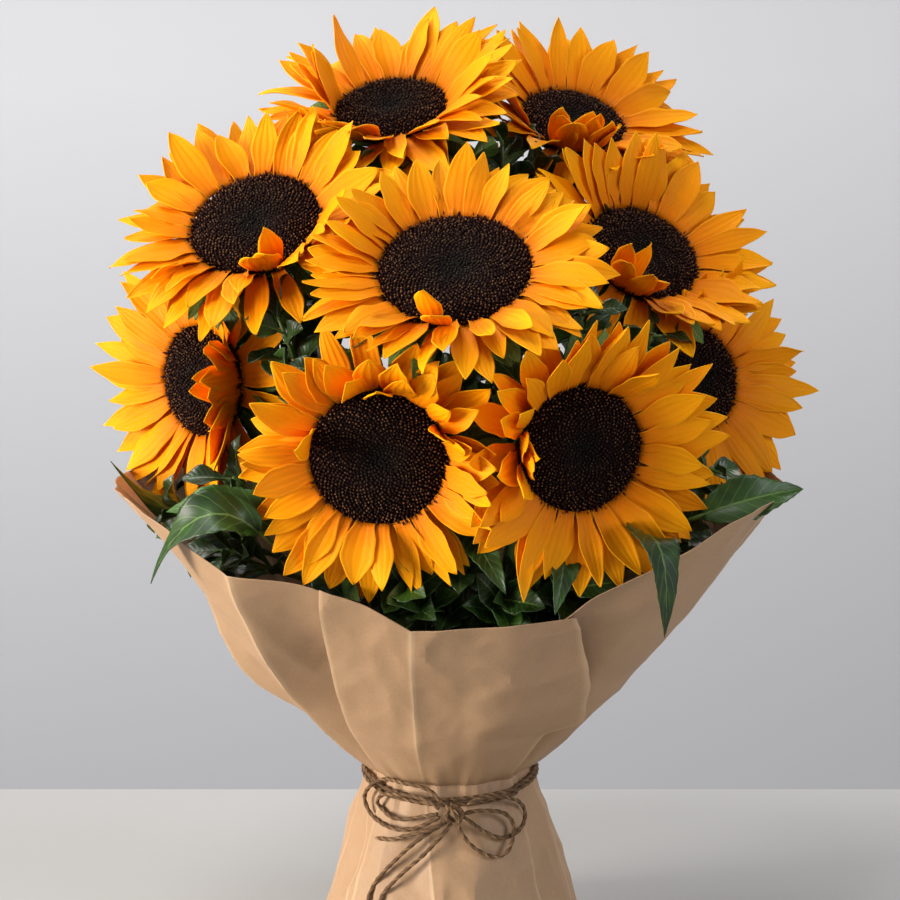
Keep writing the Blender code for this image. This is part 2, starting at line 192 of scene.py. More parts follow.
class Shape:
    """Collects grids of points into one mesh, with named numbers on its points."""

    def __init__(self) -> None:
        """Starts with nothing in it."""
        self.points: list[np.ndarray] = []
        self.faces: list[tuple[int, ...]] = []
        self.marks: dict[str, list[np.ndarray]] = defaultdict(list)
        self.count = 0

    def add(self, points: np.ndarray, faces: list, marks: Marks) -> None:
        """Adds n points, the faces between them and a number by name for all or each."""
        start = self.count
        self.points.append(points)
        self.faces.extend(tuple(start + i for i in face) for face in faces)
        for name, values in marks.items():
            self.marks[name].append(np.broadcast_to(np.ravel(values), len(points)))
        self.count += len(points)

    def add_grid(self, grid: np.ndarray, marks: Marks, tube: bool = False) -> None:
        """Adds a grid of points as a sheet, or as a tube with closed ends.

        Args:
            grid: points by row and column.
            marks: numbers by name, each for the whole grid, its rows, its columns or each point.
            tube: whether the last column joins the first, with a cap on each end.
        """
        rows, columns, _ = grid.shape
        faces = []
        for i in range(rows - 1):
            for j in range(columns if tube else columns - 1):
                k = (j + 1) % columns
                low, high = i * columns, (i + 1) * columns
                faces.append((low + j, low + k, high + k, high + j))
        if tube:
            faces.append(tuple(reversed(range(columns))))
            faces.append(tuple((rows - 1) * columns + j for j in range(columns)))
        spread = {name: np.broadcast_to(value, (rows, columns)) for name, value in marks.items()}
        self.add(grid.reshape(-1, 3), faces, spread)

    def make(
        self, name: str, finish: bpy.types.Material, thickness: float = 0.0, sharp: float = 180.0
    ) -> bpy.types.Object:
        """Turns what was collected into an object.

        Args:
            name: the object's name.
            finish: its material.
            thickness: the wall given to a sheet, or 0 for a closed shape.
            sharp: edges that turn more than this many degrees stay sharp.

        Returns:
            The object, linked into the scene.
        """
        mesh = bpy.data.meshes.new(name)
        mesh.from_pydata(np.concatenate(self.points).tolist(), [], self.faces)
        for mark, values in self.marks.items():
            layer = mesh.attributes.new(mark, "FLOAT", "POINT")
            layer.data.foreach_set("value", np.concatenate(values).astype(np.float32))
        mesh.shade_smooth()
        if sharp < 180:
            mesh.set_sharp_from_angle(angle=math.radians(sharp))
        mesh.materials.append(finish)
        thing = put_in_scene(name, mesh)
        if thickness:
            wall = thing.modifiers.new("wall", "SOLIDIFY")
            wall.thickness = thickness
            wall.offset = 0
        return thing


def put_in_scene(name: str, data: bpy.types.ID) -> bpy.types.Object:
    """Makes an object of a mesh, a lamp or a camera, and links it into the scene."""
    thing = bpy.data.objects.new(name, data)
    bpy.context.scene.collection.objects.link(thing)
    return thing


def polar(radius: float, angle: float, height: float) -> Vector:
    """A point at this distance and angle about the Z axis."""
    return Vector((radius * math.cos(angle), radius * math.sin(angle), height))


def bezier(a: Vector, b: Vector, c: Vector, d: Vector, t: float) -> Vector:
    """The point at t on a cubic curve from a to d."""
    u = 1 - t
    return a * u**3 + b * (3 * u * u * t) + c * (3 * u * t * t) + d * t**3


def smooth_route(points: list[Vector], step: float) -> list[Vector]:
    """Evenly spaced points on a smooth curve through a route's own points.

    Args:
        points: the route.
        step: about how far apart the new points are.

    Returns:
        The new points, with the route's own ends.
    """
    fine = []
    for i in range(len(points) - 1):
        a = points[max(i - 1, 0)]
        b, c = points[i], points[i + 1]
        d = points[min(i + 2, len(points) - 1)]
        for k in range(12):
            fine.append(bezier(b, b + (c - a) / 6, c - (d - b) / 6, c, k / 12))
    fine.append(points[-1])
    total = sum((b - a).length for a, b in zip(fine, fine[1:]))
    count = max(4, round(total / step))
    spaced = [fine[0]]
    gone, wanted = 0.0, total / count
    for a, b in zip(fine, fine[1:]):
        run = (b - a).length
        while gone + run >= wanted and len(spaced) < count:
            spaced.append(a.lerp(b, (wanted - gone) / run))
            wanted += total / count
        gone += run
    spaced.append(fine[-1])
    return spaced


def sweep(path: list[Vector], radii: np.ndarray, level_foot: bool = False) -> np.ndarray:
    """Rings of points round a path, with as little twist as it allows.

    Args:
        path: the centreline.
        radii: the radius of each ring at each of its corners.
        level_foot: whether the first ring is cut level, at the height of the path's start.

    Returns:
        The grid of points, a ring to a row.
    """
    rings = []
    side = None
    turns = np.arange(radii.shape[1]) * 2 * math.pi / radii.shape[1]
    for i, point in enumerate(path):
        along = (path[min(i + 1, len(path) - 1)] - path[max(i - 1, 0)]).normalized()
        if side is None:
            side = along.cross(Vector((0.3, 0.8, 0.5))).normalized()
        side = (side - along * side.dot(along)).normalized()
        up = along.cross(side)
        ring = (
            np.array(point)
            + np.outer(np.cos(turns) * radii[i], side)
            + np.outer(np.sin(turns) * radii[i], up)
        )
        if level_foot and i == 0:
            ring -= np.outer((ring[:, 2] - point.z) / along.z, along)
        rings.append(ring)
    return np.array(rings)


def wear(piece: bpy.types.Object, slot: str, *nodes: str) -> None:
    """Makes a piece ride on the bunch and hides the nodes that it stands for; the slot is not used.
    """
    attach(piece, BODY)
    if nodes:
        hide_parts(*nodes)
    log.info("%s: %d points", piece.name, len(piece.data.vertices))


# ---------------------------------------------------------------- finishes


@dataclass(frozen=True)
class RayPetal:
    """Ray petals of a sunflower: thin living tissue with a soft waxy skin.

    The eye gets a golden yellow that deepens to orange at the base, partly the petals' own colour
    and partly painted shade where they crowd round the disc. It also gets fine lengthwise streaks,
    a paler edge and a little light through the blade.
    """

    base: str = "#a04600"
    throat: str = "#e27a00"
    blade: str = "#f69c00"
    tip: str = "#fdb402"
    edge: str = "#ffc61a"
    shade: str = "#e47c00"
    streak_width: float = 0.75 * MM
    streak_changes: float = 2.2
    edge_power: float = 22.0
    roughness: float = 0.58

    def build(self) -> bpy.types.Material:
        """Makes the material from the petals' own numbers: along, across and tone."""
        made = Recipe("ray_petal")
        along, across, tone = (made.mark(name) for name in ("along", "across", "tone"))
        # The dark base and throat are partly the petals' own orange and partly painted shade near
        # the disc.
        stops = ((0.0, self.base), (0.15, self.throat), (0.45, self.blade), (1.0, self.tip))
        sockets = {
            "X": made.times(across, PETAL_HALF / self.streak_width),
            "Y": made.times(along, self.streak_changes),
            "Z": made.times(tone, 40.0),
        }
        streaks = made.noise(made.add("CombineXYZ", "Vector", sockets), 1.0, 3.0)
        body = made.mix(made.times(streaks, 0.55), made.ramp(along, *stops), self.shade)
        body = made.mix(made.times(tone, 0.45), body, self.shade)
        rim = made.maths("POWER", made.maths("ABSOLUTE", across), self.edge_power)
        body = made.mix(made.times(rim, 0.3), body, self.edge)
        skin = {
            "Roughness": self.roughness,
            "IOR": 1.42,
            "Specular IOR Level": 0.14,
            "Subsurface Weight": 0.12,
            "Subsurface Radius": (1.0, 0.45, 0.02),
            "Subsurface Scale": 1.5 * MM,
        }
        return made.finish(body, skin, streaks, (0.35, 0.25 * MM))


@dataclass(frozen=True)
class DiscFloret:
    """Dry, tightly packed disc florets, rough and unglazed.

    The eye gets a near-black middle, a red-brown outer belt and lighter specks on the tips.
    """

    middle: str = "#070603"
    belt: str = "#1a0604"
    outer: str = "#1c0805"
    rim: str = "#30100a"
    speck: str = "#bf7c52"
    green_speck: str = "#6f6d4c"
    roughness: float = 0.85

    def build(self) -> bpy.types.Material:
        """Makes the material from the florets' numbers: zone, height and tone."""
        made = Recipe("disc_floret")
        zone, height, tone = (made.mark(name) for name in ("zone", "height", "tone"))
        stops = ((0.0, self.middle), (0.45, self.belt), (0.85, self.outer), (1.0, self.rim))
        tips = made.times(made.maths("POWER", height, 4.0), made.maths("POWER", tone, 1.6))
        outer = made.maths("POWER", zone, 1.3)
        share = made.times(made.maths("ADD", outer, 0.25), tips)
        dots = made.mix(outer, self.green_speck, self.speck)
        lit = made.mix(share, made.ramp(zone, *stops), dots)
        husk = {"Roughness": self.roughness, "IOR": 1.45, "Specular IOR Level": 0.2}
        return made.finish(lit, husk)


@dataclass(frozen=True)
class Greenery:
    """Green plant tissue: a leaf's waxy skin, or a stem's matt one.

    The eye gets a mottled green, paler veins on a leaf, and a sheen as broad as the wax allows.
    """

    name: str
    dark: str
    light: str
    vein: str
    roughness: float
    coat: float = 0.0
    mottle: float = 9 * MM
    veins: int = 9

    def build(self) -> bpy.types.Material:
        """Makes the material, with veins where the mesh has along and across numbers."""
        made = Recipe(self.name)
        along, across, tone = (made.mark(name) for name in ("along", "across", "tone"))
        patches = made.noise(made.place(), 1 / self.mottle, 4.0)
        share = made.maths("ADD", made.maths("ADD", made.times(tone, 0.6), -0.25), patches)
        body = made.ramp(share, (0.3, self.dark), (0.85, self.light))
        off_rib = made.maths("ABSOLUTE", across)
        slant = made.maths(
            "SUBTRACT", made.times(along, float(self.veins)), made.times(off_rib, VEIN_SLANT)
        )
        ripple = made.maths("PINGPONG", slant, 0.5)
        side_vein = made.times(made.maths("LESS_THAN", ripple, 0.045), 0.6)
        lines = made.maths("MAXIMUM", made.maths("LESS_THAN", off_rib, 0.05), side_vein)
        veined = made.mix(made.times(lines, 0.6), body, self.vein)
        relief = made.maths("ADD", made.times(ripple, 1.4), patches)
        skin = {
            "Roughness": self.roughness,
            "IOR": 1.45,
            "Coat Weight": self.coat,
            "Coat Roughness": 0.3,
        }
        return made.finish(veined, skin, relief, (0.5, 0.4 * MM))


@dataclass(frozen=True)
class KraftPaper:
    """Unbleached kraft paper, machine-made and matt.

    The eye gets a warm brown with fine fibres, darker clouds, small flecks and pale fold lines. The
    fold lines are partly wear on the creases and partly a painted highlight along their ridges.
    """

    paper: str = "#b99671"
    deep: str = "#a07d5c"
    fleck: str = "#86623d"
    crease_wear_and_highlight: str = "#d9ba93"
    fibre: float = 1.1 * MM
    cloud: float = 28 * MM
    roughness: float = 0.6

    def build(self) -> bpy.types.Material:
        """Makes the material, with fold lines where the mesh has a fold number."""
        made = Recipe("kraft_paper")
        spot = made.place()
        stretched = made.add("Mapping", "Vector", {"Vector": spot, "Scale": (1.0, 1.0, 0.22)})
        fibres = made.noise(stretched, 1 / self.fibre, 5.0, 0.6)
        clouds = made.noise(spot, 1 / self.cloud, 3.0)
        flecks = made.noise(spot, 1 / (0.8 * self.fibre), 1.0)
        body = made.mix(fibres, self.paper, self.deep)
        body = made.mix(made.times(clouds, 0.6), body, self.deep)
        dark = made.ramp(flecks, (0.66, "#000000"), (0.72, "#ffffff"))
        body = made.mix(made.times(dark, 0.35), body, self.fleck)
        # Pale crease lines: partly wear, partly a painted highlight along each crease's ridge.
        body = made.mix(made.times(made.mark("fold"), 0.45), body, self.crease_wear_and_highlight)
        matt = {"Roughness": self.roughness, "IOR": 1.5}
        return made.finish(body, matt, fibres, (0.35, 0.16 * MM))


@dataclass(frozen=True)
class JuteTwine:
    """Two-ply jute twine, spun and unglazed.

    The eye gets a dull brown yarn with light and dark fibres that follow the twist, and painted
    shade in the valleys between the two strands.
    """

    light: str = "#9a7650"
    dark: str = "#372311"
    fibre: float = 0.35 * MM
    roughness: float = 0.9

    def build(self) -> bpy.types.Material:
        """Makes the material from the yarn's numbers: along and around, in turns, and valley, where
        shade is painted.
        """
        made = Recipe("jute_twine")
        sockets = {
            "X": made.times(made.mark("around"), 9.0),
            "Y": made.times(made.mark("along"), 1.6),
        }
        fibres = made.noise(made.add("CombineXYZ", "Vector", sockets), 1.0, 4.0)
        yarn = made.ramp(fibres, (0.35, self.dark), (0.65, self.light))
        # Painted shade: the yarn is darkened in the valleys between its two strands.
        shaded = made.mix(made.times(made.mark("valley"), 0.55), yarn, self.dark)
        matt = {"Roughness": self.roughness, "IOR": 1.5}
        return made.finish(shaded, matt, fibres, (0.7, self.fibre))


@dataclass(frozen=True)
class StudioPaper:
    """A matt pale backdrop, evenly lit by its lamps, with shade painted in low down.

    The eye gets a soft grey with no shine.
    """

    name: str = "backdrop_paper"
    grey: str = "#d6d6d9"
    # The colour of the painted shade at the foot of the backdrop.
    low: str = "#acacae"
    roughness: float = 0.9

    def build(self) -> bpy.types.Material:
        """Makes the plain backdrop material, with shade painted in to make it a little darker low
        down.
        """
        made = Recipe(self.name)
        parts = made.add("SeparateXYZ", "Z", {"Vector": made.place()})
        # Painted shade: the colour falls from the grey to the darker low colour towards the bottom.
        painted_falloff = made.mix(made.maths("ADD", parts, BACKDROP_DROP), self.low, self.grey)
        return made.finish(painted_falloff, {"Roughness": self.roughness})


# ---------------------------------------------------------------- flowers


def node_points(name: str) -> np.ndarray:
    """The points of one of the frame's nodes."""
    return np.array([tuple(point.co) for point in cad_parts[name].data.vertices])


@dataclass(frozen=True)
class Head:
    """Where a flower's head is and how big it is, read from the frame.

    Attributes:
        base: the middle of the plane where the cup ends and the disc begins.
        facing: the way the head looks.
        disc: the disc's radius.
        turn: from the head's own axes, with +Z out of its face, to the world.
    """

    base: Vector
    facing: Vector
    disc: float
    turn: Matrix

    @classmethod
    def read(cls, number: int) -> "Head":
        """Reads a head, by its number, from its disc and the stem behind it."""
        disc = node_points(f"seed_disc_{number:02d}")
        stem = node_points(f"stem_{number:02d}")
        middle = disc.mean(axis=0)
        spread = disc - middle
        facing = np.linalg.eigh(spread.T @ spread)[1][:, 0]
        reach = np.linalg.norm(spread, axis=1).max()
        behind = stem[np.linalg.norm(stem - middle, axis=1) < 1.3 * reach].mean(axis=0)
        if facing @ (middle - behind) < 0:
            facing = -facing
        depth = spread @ facing
        base = middle + facing * (depth.min() - GAP)
        flat = spread - np.outer(depth, facing)
        way = Vector(facing).normalized()
        hint = Vector((0, 0, 1)) if abs(way.z) < 0.9 else Vector((1, 0, 0))
        side = way.cross(hint).normalized()
        axes = Matrix((side, way.cross(side).normalized(), way)).transposed()
        radius = float(np.linalg.norm(flat, axis=1).max())
        return cls(Vector(base), way, radius, axes)

    def place(self, points: np.ndarray) -> np.ndarray:
        """Takes points, in any grid, from the head's own axes to the world."""
        return points @ np.array(self.turn).T + np.array(self.base)


@dataclass
class Rays:
    """The ray petals of one flower, in rows one behind the other.

    Attributes:
        length: a typical ray's length.
        width: its width at the widest.
        count: how many there are in each row.
        row_lengths: a factor on the length in each row.
        row_slack: how far each row may reach into a neighbour's room, mm.
        lift: how steeply a ray of the front row starts above the plane of the disc, degrees.
        row_drop: how much flatter each further row starts, degrees.
        tries: how often a cramped ray is made steeper.
    """

    length: float = 36 * MM
    width: float = 14.5 * MM
    count: tuple[int, ...] = (23, 23, 17)
    row_lengths: tuple[float, ...] = (0.93, 1.04, 1.0)
    row_slack: tuple[float, ...] = (3.0, 6.0, 9.0)
    lift: float = 20.0
    row_drop: float = 9.0
    tries: int = 14
    rows: int = 15
    columns: int = 13
    groove: float = 0.3 * MM

    def outline(self, s: np.ndarray) -> np.ndarray:
        """How wide a ray is at each share of its length, with a narrow foot and a pointed tip."""
        foot = np.clip(s / 0.42, 0, 1)
        tip = np.clip((s - 0.5) / 0.5, 0, 1)
        return (0.60 + 0.40 * foot * foot * (3 - 2 * foot)) * (1 - tip**1.9) + 0.012

    def blade(
        self,
        rng: np.random.Generator,
        angle: float,
        start: tuple[float, float],
        lift: float,
        length: float,
        width: float,
    ) -> tuple[np.ndarray, Marks]:
        """Bends one ray.

        Args:
            rng: the flower's random numbers.
            angle: where it grows on the disc's rim, radians.
            start: how far out and how high it starts.
            lift: how steeply it starts, degrees.
            length: its length.
            width: its width.

        Returns:
            Its grid of points in the head's own axes, and its marks.
        """
        s = 1 - (1 - np.linspace(0, 1, self.rows)) ** 1.15
        arch = rng.normal(-10, 8)
        curl = rng.normal(0, 12)
        steep = np.radians(lift + arch * s + curl * s**3)
        sway = np.radians(rng.normal(0, 4)) + np.radians(rng.normal(0, 9)) * s
        step = np.diff(s, prepend=0.0) * length
        out = start[0] + np.cumsum(step * np.cos(steep) * np.cos(sway))
        sideways = np.cumsum(step * np.cos(steep) * np.sin(sway))
        height = start[1] + np.cumsum(step * np.sin(steep))
        c = np.linspace(-1, 1, self.columns)
        wave = 1 + 0.05 * np.sin(2 * math.pi * (rng.uniform(1.5, 3.0) * s + rng.random()))
        half = 0.5 * width * self.outline(s) * wave
        cup = rng.uniform(0.02, 0.20) * np.where(rng.random() < 0.82, 1.0, -0.6)
        ridges = self.groove * np.cos(4 * math.pi * c + rng.uniform(0, 1))
        ripple = 0.45 * MM * np.sin(2 * math.pi * (rng.uniform(1.0, 2.4) * s + rng.random()))
        turn = rng.normal(0, 12) + (35 if rng.random() < 0.12 else 0)
        twist = (np.radians(rng.normal(7, 5)) + np.radians(turn) * s)[:, None]
        across = half[:, None] * c
        rise = half[:, None] * cup * (c**2 - 0.35) * 1.6
        rise = rise + ridges * np.sin(math.pi * np.clip(s, 0.03, 0.97))[:, None] ** 0.5
        rise = rise + ripple[:, None] * c * np.abs(c)
        along_side = across * np.cos(twist) - rise * np.sin(twist)
        along_face = across * np.sin(twist) + rise * np.cos(twist)
        radial = out[:, None] - along_face * np.sin(steep)[:, None]
        tangent = sideways[:, None] + along_side
        up = height[:, None] + along_face * np.cos(steep)[:, None]
        x = radial * math.cos(angle) - tangent * math.sin(angle)
        y = radial * math.sin(angle) + tangent * math.cos(angle)
        return np.stack([x, y, up], axis=-1), {"along": s[:, None], "across": c}


# The florets: how many, as a factor on the square of the disc's radius in mm, how high their
# dome rises and dips, and the corners and faces of each one's bud.
FLORET_DENSITY = 1.15
DOME_RISE = 8.6 * MM
DOME_DIP = 2.6 * MM
CORNERS = np.arange(5) * 2 * math.pi / 5
BUD_FACES = [(i, (i + 1) % 5, 5 + (i + 1) % 5, 5 + i) for i in range(5)]
BUD_FACES += [(5 + i, 5 + (i + 1) % 5, 10 + (i + 1) % 5, 10 + i) for i in range(5)]
BUD_FACES += [(10 + i, 10 + (i + 1) % 5, 15) for i in range(5)]

# Rows of bracts: how many, how steep in degrees, how high they start in mm.
BRACT_ROWS = ((17, -2, -1.5), (16, -24, -4.5))

# The cup: depth behind the disc, and width, as shares of the whole.
CUP_PROFILE = ((0.75, 0.36), (0.5, 0.58), (0.28, 0.80), (0.1, 0.95), (0.0, 1.0))


@dataclass
class Flower:
    """One sunflower: stem, bracts, ray petals and the disc of florets.

    Attributes:
        number: its number in the frame.
        curl_in: where rays curl in over the disc, and how far to each side, in degrees round
            the head as one sees it: 0 on its right, 90 at its top.
        size: a factor on the rays' length.
        rear_lift: how much steeper the rays at the top of the head stand, degrees.
        slack: how far the rays may reach into a neighbour's room.
    """

    number: int
    curl_in: tuple[tuple[float, float], ...] = ()
    size: float = 1.0
    rear_lift: float = 0.0
    slack: float = 0.0

    def __post_init__(self) -> None:
        """Reads the flower's place from the frame and seeds its random numbers."""
        self.head = Head.read(self.number)
        self.rng = np.random.default_rng(100 + self.number)
        self.label = f"{self.number:02d}"

    def build(self, heads: list[Head], finishes: dict[str, bpy.types.Material]) -> None:
        """Makes the flower's four pieces; every head is given for the room that each has."""
        self.grow_rays(heads, finishes["ray_petal"])
        self.grow_florets(finishes["disc_floret"])
        self.grow_bracts(finishes["bract"])
        self.grow_stem(finishes["stem"])

    def cramped(self, tip: np.ndarray, heads: list[Head], slack: float) -> bool:
        """Whether a point in the head's axes is further than slack in another head's room."""
        own = np.array(self.head.base)
        point = self.head.place(tip[None])[0]
        for other in heads:
            between = np.array(other.base) - own
            gap = np.linalg.norm(between)
            if gap > 1e-6 and (point - own) @ between / gap > gap / 2 + slack:
                return True
        return False

    def inward(self, angle: float) -> float:
        """How far a ray at this angle is made to curl in, from 0 to 1."""
        most = 0.0
        for middle, width in self.curl_in:
            apart = abs((math.degrees(angle) + 180 - middle + 180) % 360 - 180)
            most = max(most, 1 - apart / width)
        return max(0.0, most)

    def grow_rays(self, heads: list[Head], finish: bpy.types.Material) -> None:
        """Makes the ray petals, each steep enough to stay in its own flower's room."""
        rays = Rays()
        shape = Shape()
        radius = self.head.disc
        for row, count in enumerate(rays.count):
            for k in range(count):
                place = k + 0.5 * row + self.rng.normal(0, 0.13)
                angle = 2 * math.pi * place / count
                length = rays.length * self.size * self.rng.normal(1.0, 0.07)
                length *= rays.row_lengths[row]
                width = rays.width * self.rng.uniform(0.72, 1.14)
                lift = rays.lift - rays.row_drop * row + self.rng.normal(0, 5)
                lift += self.rear_lift * max(0.0, -math.sin(angle))
                start = (radius * (0.975 + 0.012 * row), (4.4 - 1.3 * row) * MM)
                inward = self.inward(angle)
                if row < 2 and inward > 0:
                    lift += inward * self.rng.uniform(55, 95)
                    length *= 1 - 0.18 * inward
                slack = rays.row_slack[row] * MM + self.slack
                state = self.rng.bit_generator.state
                for _ in range(rays.tries):
                    self.rng.bit_generator.state = state
                    grid, marks = rays.blade(self.rng, angle, start, lift, length, width)
                    if not self.cramped(grid[-1, rays.columns // 2], heads, slack):
                        break
                    lift += 7
                    length *= 0.985
                shape.add_grid(self.head.place(grid), marks | {"tone": self.rng.random()})
        piece = shape.make(f"rays_{self.label}", finish, thickness=0.35 * MM)
        wear(piece, "petals", f"petal_ring_{self.label}")

    def dome(self, share: np.ndarray) -> np.ndarray:
        """The height of the disc's face at a share of its radius: a dome with a dip."""
        rise = DOME_RISE * np.sqrt(np.clip(1.04 - share**2.6, 0, None))
        return rise - DOME_DIP * np.exp(-((share / 0.3) ** 2))

    def grow_florets(self, finish: bpy.types.Material) -> None:
        """Makes the florets in the two-way spirals of a seed head, on a dome under them."""
        shape = Shape()
        self.add_dome(shape)
        count = int((self.head.disc / MM) ** 2 * FLORET_DENSITY)
        pitch = self.head.disc * math.sqrt(math.pi / count)
        for k in range(count):
            self.add_floret(shape, math.sqrt((k + 0.5) / count), k * GOLDEN_ANGLE, pitch)
        self.add_bristles(shape)
        piece = shape.make(f"florets_{self.label}", finish)
        wear(piece, "seed_disc", f"seed_disc_{self.label}")

    def add_dome(self, shape: Shape) -> None:
        """Adds the closed dome that the florets stand on."""
        ring = np.linspace(0, 2 * math.pi, 41)[:40]
        shares = np.linspace(0.02, 1.0, 9)
        dome = np.stack(
            [
                np.outer(shares * self.head.disc, np.cos(ring)),
                np.outer(shares * self.head.disc, np.sin(ring)),
                np.outer(self.dome(shares) - 0.6 * MM, np.ones(40)),
            ],
            axis=-1,
        )
        marks = {"zone": shares[:, None], "height": 0.0, "tone": 0.0}
        shape.add_grid(self.head.place(dome), marks, tube=True)

    def add_floret(self, shape: Shape, share: float, angle: float, pitch: float) -> None:
        """Adds one floret, a short five-sided bud with a pointed tip.

        Args:
            shape: where it goes.
            share: how far out it stands, as a share of the disc's radius.
            angle: its place round the disc, before it strays a little, radians.
            pitch: the distance from one floret to the next.
        """
        radius = self.head.disc
        angle += self.rng.normal(0, 0.16) * pitch / (share * radius)
        tall = (1.0 + 0.9 * np.clip((share - 0.3) / 0.5, 0, 1)) * MM
        tall *= self.rng.uniform(0.7, 1.35)
        wide = 0.5 * pitch * self.rng.uniform(0.75, 1.05)
        on_rim = max(0.0, (share - 0.88) / 0.12)
        tall *= 1 + 1.3 * on_rim * self.rng.random()
        lean = 0.25 * share * share + 0.5 * on_rim
        out = np.array((math.cos(angle), math.sin(angle), 0.0))
        foot = out * share * radius + np.array((0, 0, float(self.dome(np.array(share)))))
        foot[2] -= 0.7 * MM
        way = out * lean + np.array((0, 0, 1.0))
        way += np.array((*self.rng.normal(0, 0.08, 2), 0.0))
        way /= np.linalg.norm(way)
        side = np.cross(way, (math.sin(angle), -math.cos(angle), 0.1))
        side /= np.linalg.norm(side)
        turns = CORNERS + self.rng.uniform(0, 2 * math.pi)
        circle = np.outer(np.cos(turns), side) + np.outer(np.sin(turns), np.cross(way, side))
        levels = ((0.0, 0.85), (0.6, 1.0), (1.0, 0.5 - 0.25 * on_rim))
        rings = [foot + way * tall * level + circle * wide * grow for level, grow in levels]
        rings.append((foot + way * tall * 1.15)[None])
        height = np.repeat((0.0, 0.2, 0.75, 1.0), (5, 5, 5, 1))
        marks = {"zone": share, "height": height, "tone": self.rng.random()}
        shape.add(self.head.place(np.concatenate(rings)), BUD_FACES, marks)

    def add_bristles(self, shape: Shape) -> None:
        """Adds the pointed scales that stand between the disc and the rays."""
        radius = self.head.disc
        for _ in range(int(2.6 * radius / MM)):
            angle = self.rng.uniform(0, 2 * math.pi)
            tall = self.rng.uniform(2.5, 5.0) * MM
            lean = math.radians(self.rng.uniform(25, 80))
            reach = radius * self.rng.uniform(0.97, 1.03)
            out = np.array((math.cos(angle), math.sin(angle), 0.0))
            side = np.array((-math.sin(angle), math.cos(angle), 0.0)) * 0.55 * MM
            foot = out * reach + np.array((0, 0, 2.0 * MM))
            tip = foot + (out * math.cos(lean) + np.array((0, 0, math.sin(lean)))) * tall
            back = foot + out * 0.5 * MM
            shape.add(
                self.head.place(np.stack([foot - side, foot + side, back, tip])),
                [(0, 1, 3), (1, 2, 3), (2, 0, 3), (0, 2, 1)],
                {"zone": 1.0, "height": (0.0, 0.0, 0.0, 0.7), "tone": self.rng.random()},
            )

    def grow_bracts(self, finish: bpy.types.Material) -> None:
        """Makes the green bracts behind the rays, in two rows."""
        shape = Shape()
        shaper = Rays(rows=11, columns=7, groove=0.12 * MM)
        for row, (count, lift, low) in enumerate(BRACT_ROWS):
            start = (self.head.disc * (1.0 - 0.12 * row), low * MM)
            for k in range(count):
                angle = 2 * math.pi * (k + 0.5 * row + self.rng.normal(0, 0.12)) / count
                steep = lift + self.rng.normal(0, 8)
                length = self.rng.uniform(22, 29) * MM
                width = self.rng.uniform(9.5, 12.5) * MM
                grid, marks = shaper.blade(self.rng, angle, start, steep, length, width)
                shape.add_grid(self.head.place(grid), marks | {"tone": self.rng.random()})
        wear(shape.make(f"bracts_{self.label}", finish, thickness=0.5 * MM), "leaf")

    def stem_path(self) -> list[Vector]:
        """The stem's centreline, from its cut end through the tie to the back of the cup."""
        stem = node_points(f"stem_{self.label}")
        foot = Vector(stem[stem[:, 2] < 0.5 * MM].mean(axis=0))
        waist = Vector(stem[np.abs(stem[:, 2] - TIE_HEIGHT) < 3 * MM].mean(axis=0))
        back = self.head.base - self.head.facing * CUP_DEPTH
        ahead = waist + (waist - foot).normalized() * (back - waist).length * 0.4
        behind = back - self.head.facing * NECK_LENGTH
        path = [foot.lerp(waist, k / 16) for k in range(16)]
        return path + [bezier(waist, ahead, behind, back, k / 32) for k in range(33)]

    def grow_stem(self, finish: bpy.types.Material) -> None:
        """Makes the ribbed stem, cut level, with the green cup that carries the head."""
        path = self.stem_path()
        sides = 20
        thick = [5.5 * MM - 1.0 * MM * k / (len(path) - 1) for k in range(len(path))]
        for depth, share in CUP_PROFILE:
            path.append(self.head.base - self.head.facing * CUP_DEPTH * depth)
            thick.append((self.head.disc + 1.0 * MM) * share)
        turns = np.arange(sides) * 2 * math.pi / sides
        ribs = 1 + 0.045 * np.cos(5 * turns) + self.rng.normal(0, 0.012, sides)
        grid = sweep(path, np.outer(thick, ribs), level_foot=True)
        middle = grid[0].mean(axis=0)
        core = [middle + (grid[0] - middle) * share for share in (0.05, 0.6, 0.93)]
        grid = np.concatenate([np.array(core), grid])
        along = np.linspace(0, 1, len(grid))[:, None]
        shape = Shape()
        marks = {"along": along, "across": 0.5, "tone": self.rng.random()}
        shape.add_grid(grid, marks, tube=True)
        piece = shape.make(f"stalk_{self.label}", finish, sharp=50)
        wear(piece, "stem", f"stem_{self.label}")


# ---------------------------------------------------------------- leaves


# The length of one tooth on a broad leaf's edge, and how far a twig bows outwards, mm.
TOOTH = 5.5 * MM
TWIG_BOW = 5


class Blade(Enum):
    """The kinds of leaf in the bunch."""

    BROAD = "broad"  # a sunflower's own leaf: wide, toothed, veined
    NARROW = "narrow"  # a lance-shaped leaf of the filling green
    ROUND = "round"  # a small cupped leaf of the filling green


BROAD, NARROW, ROUND = Blade


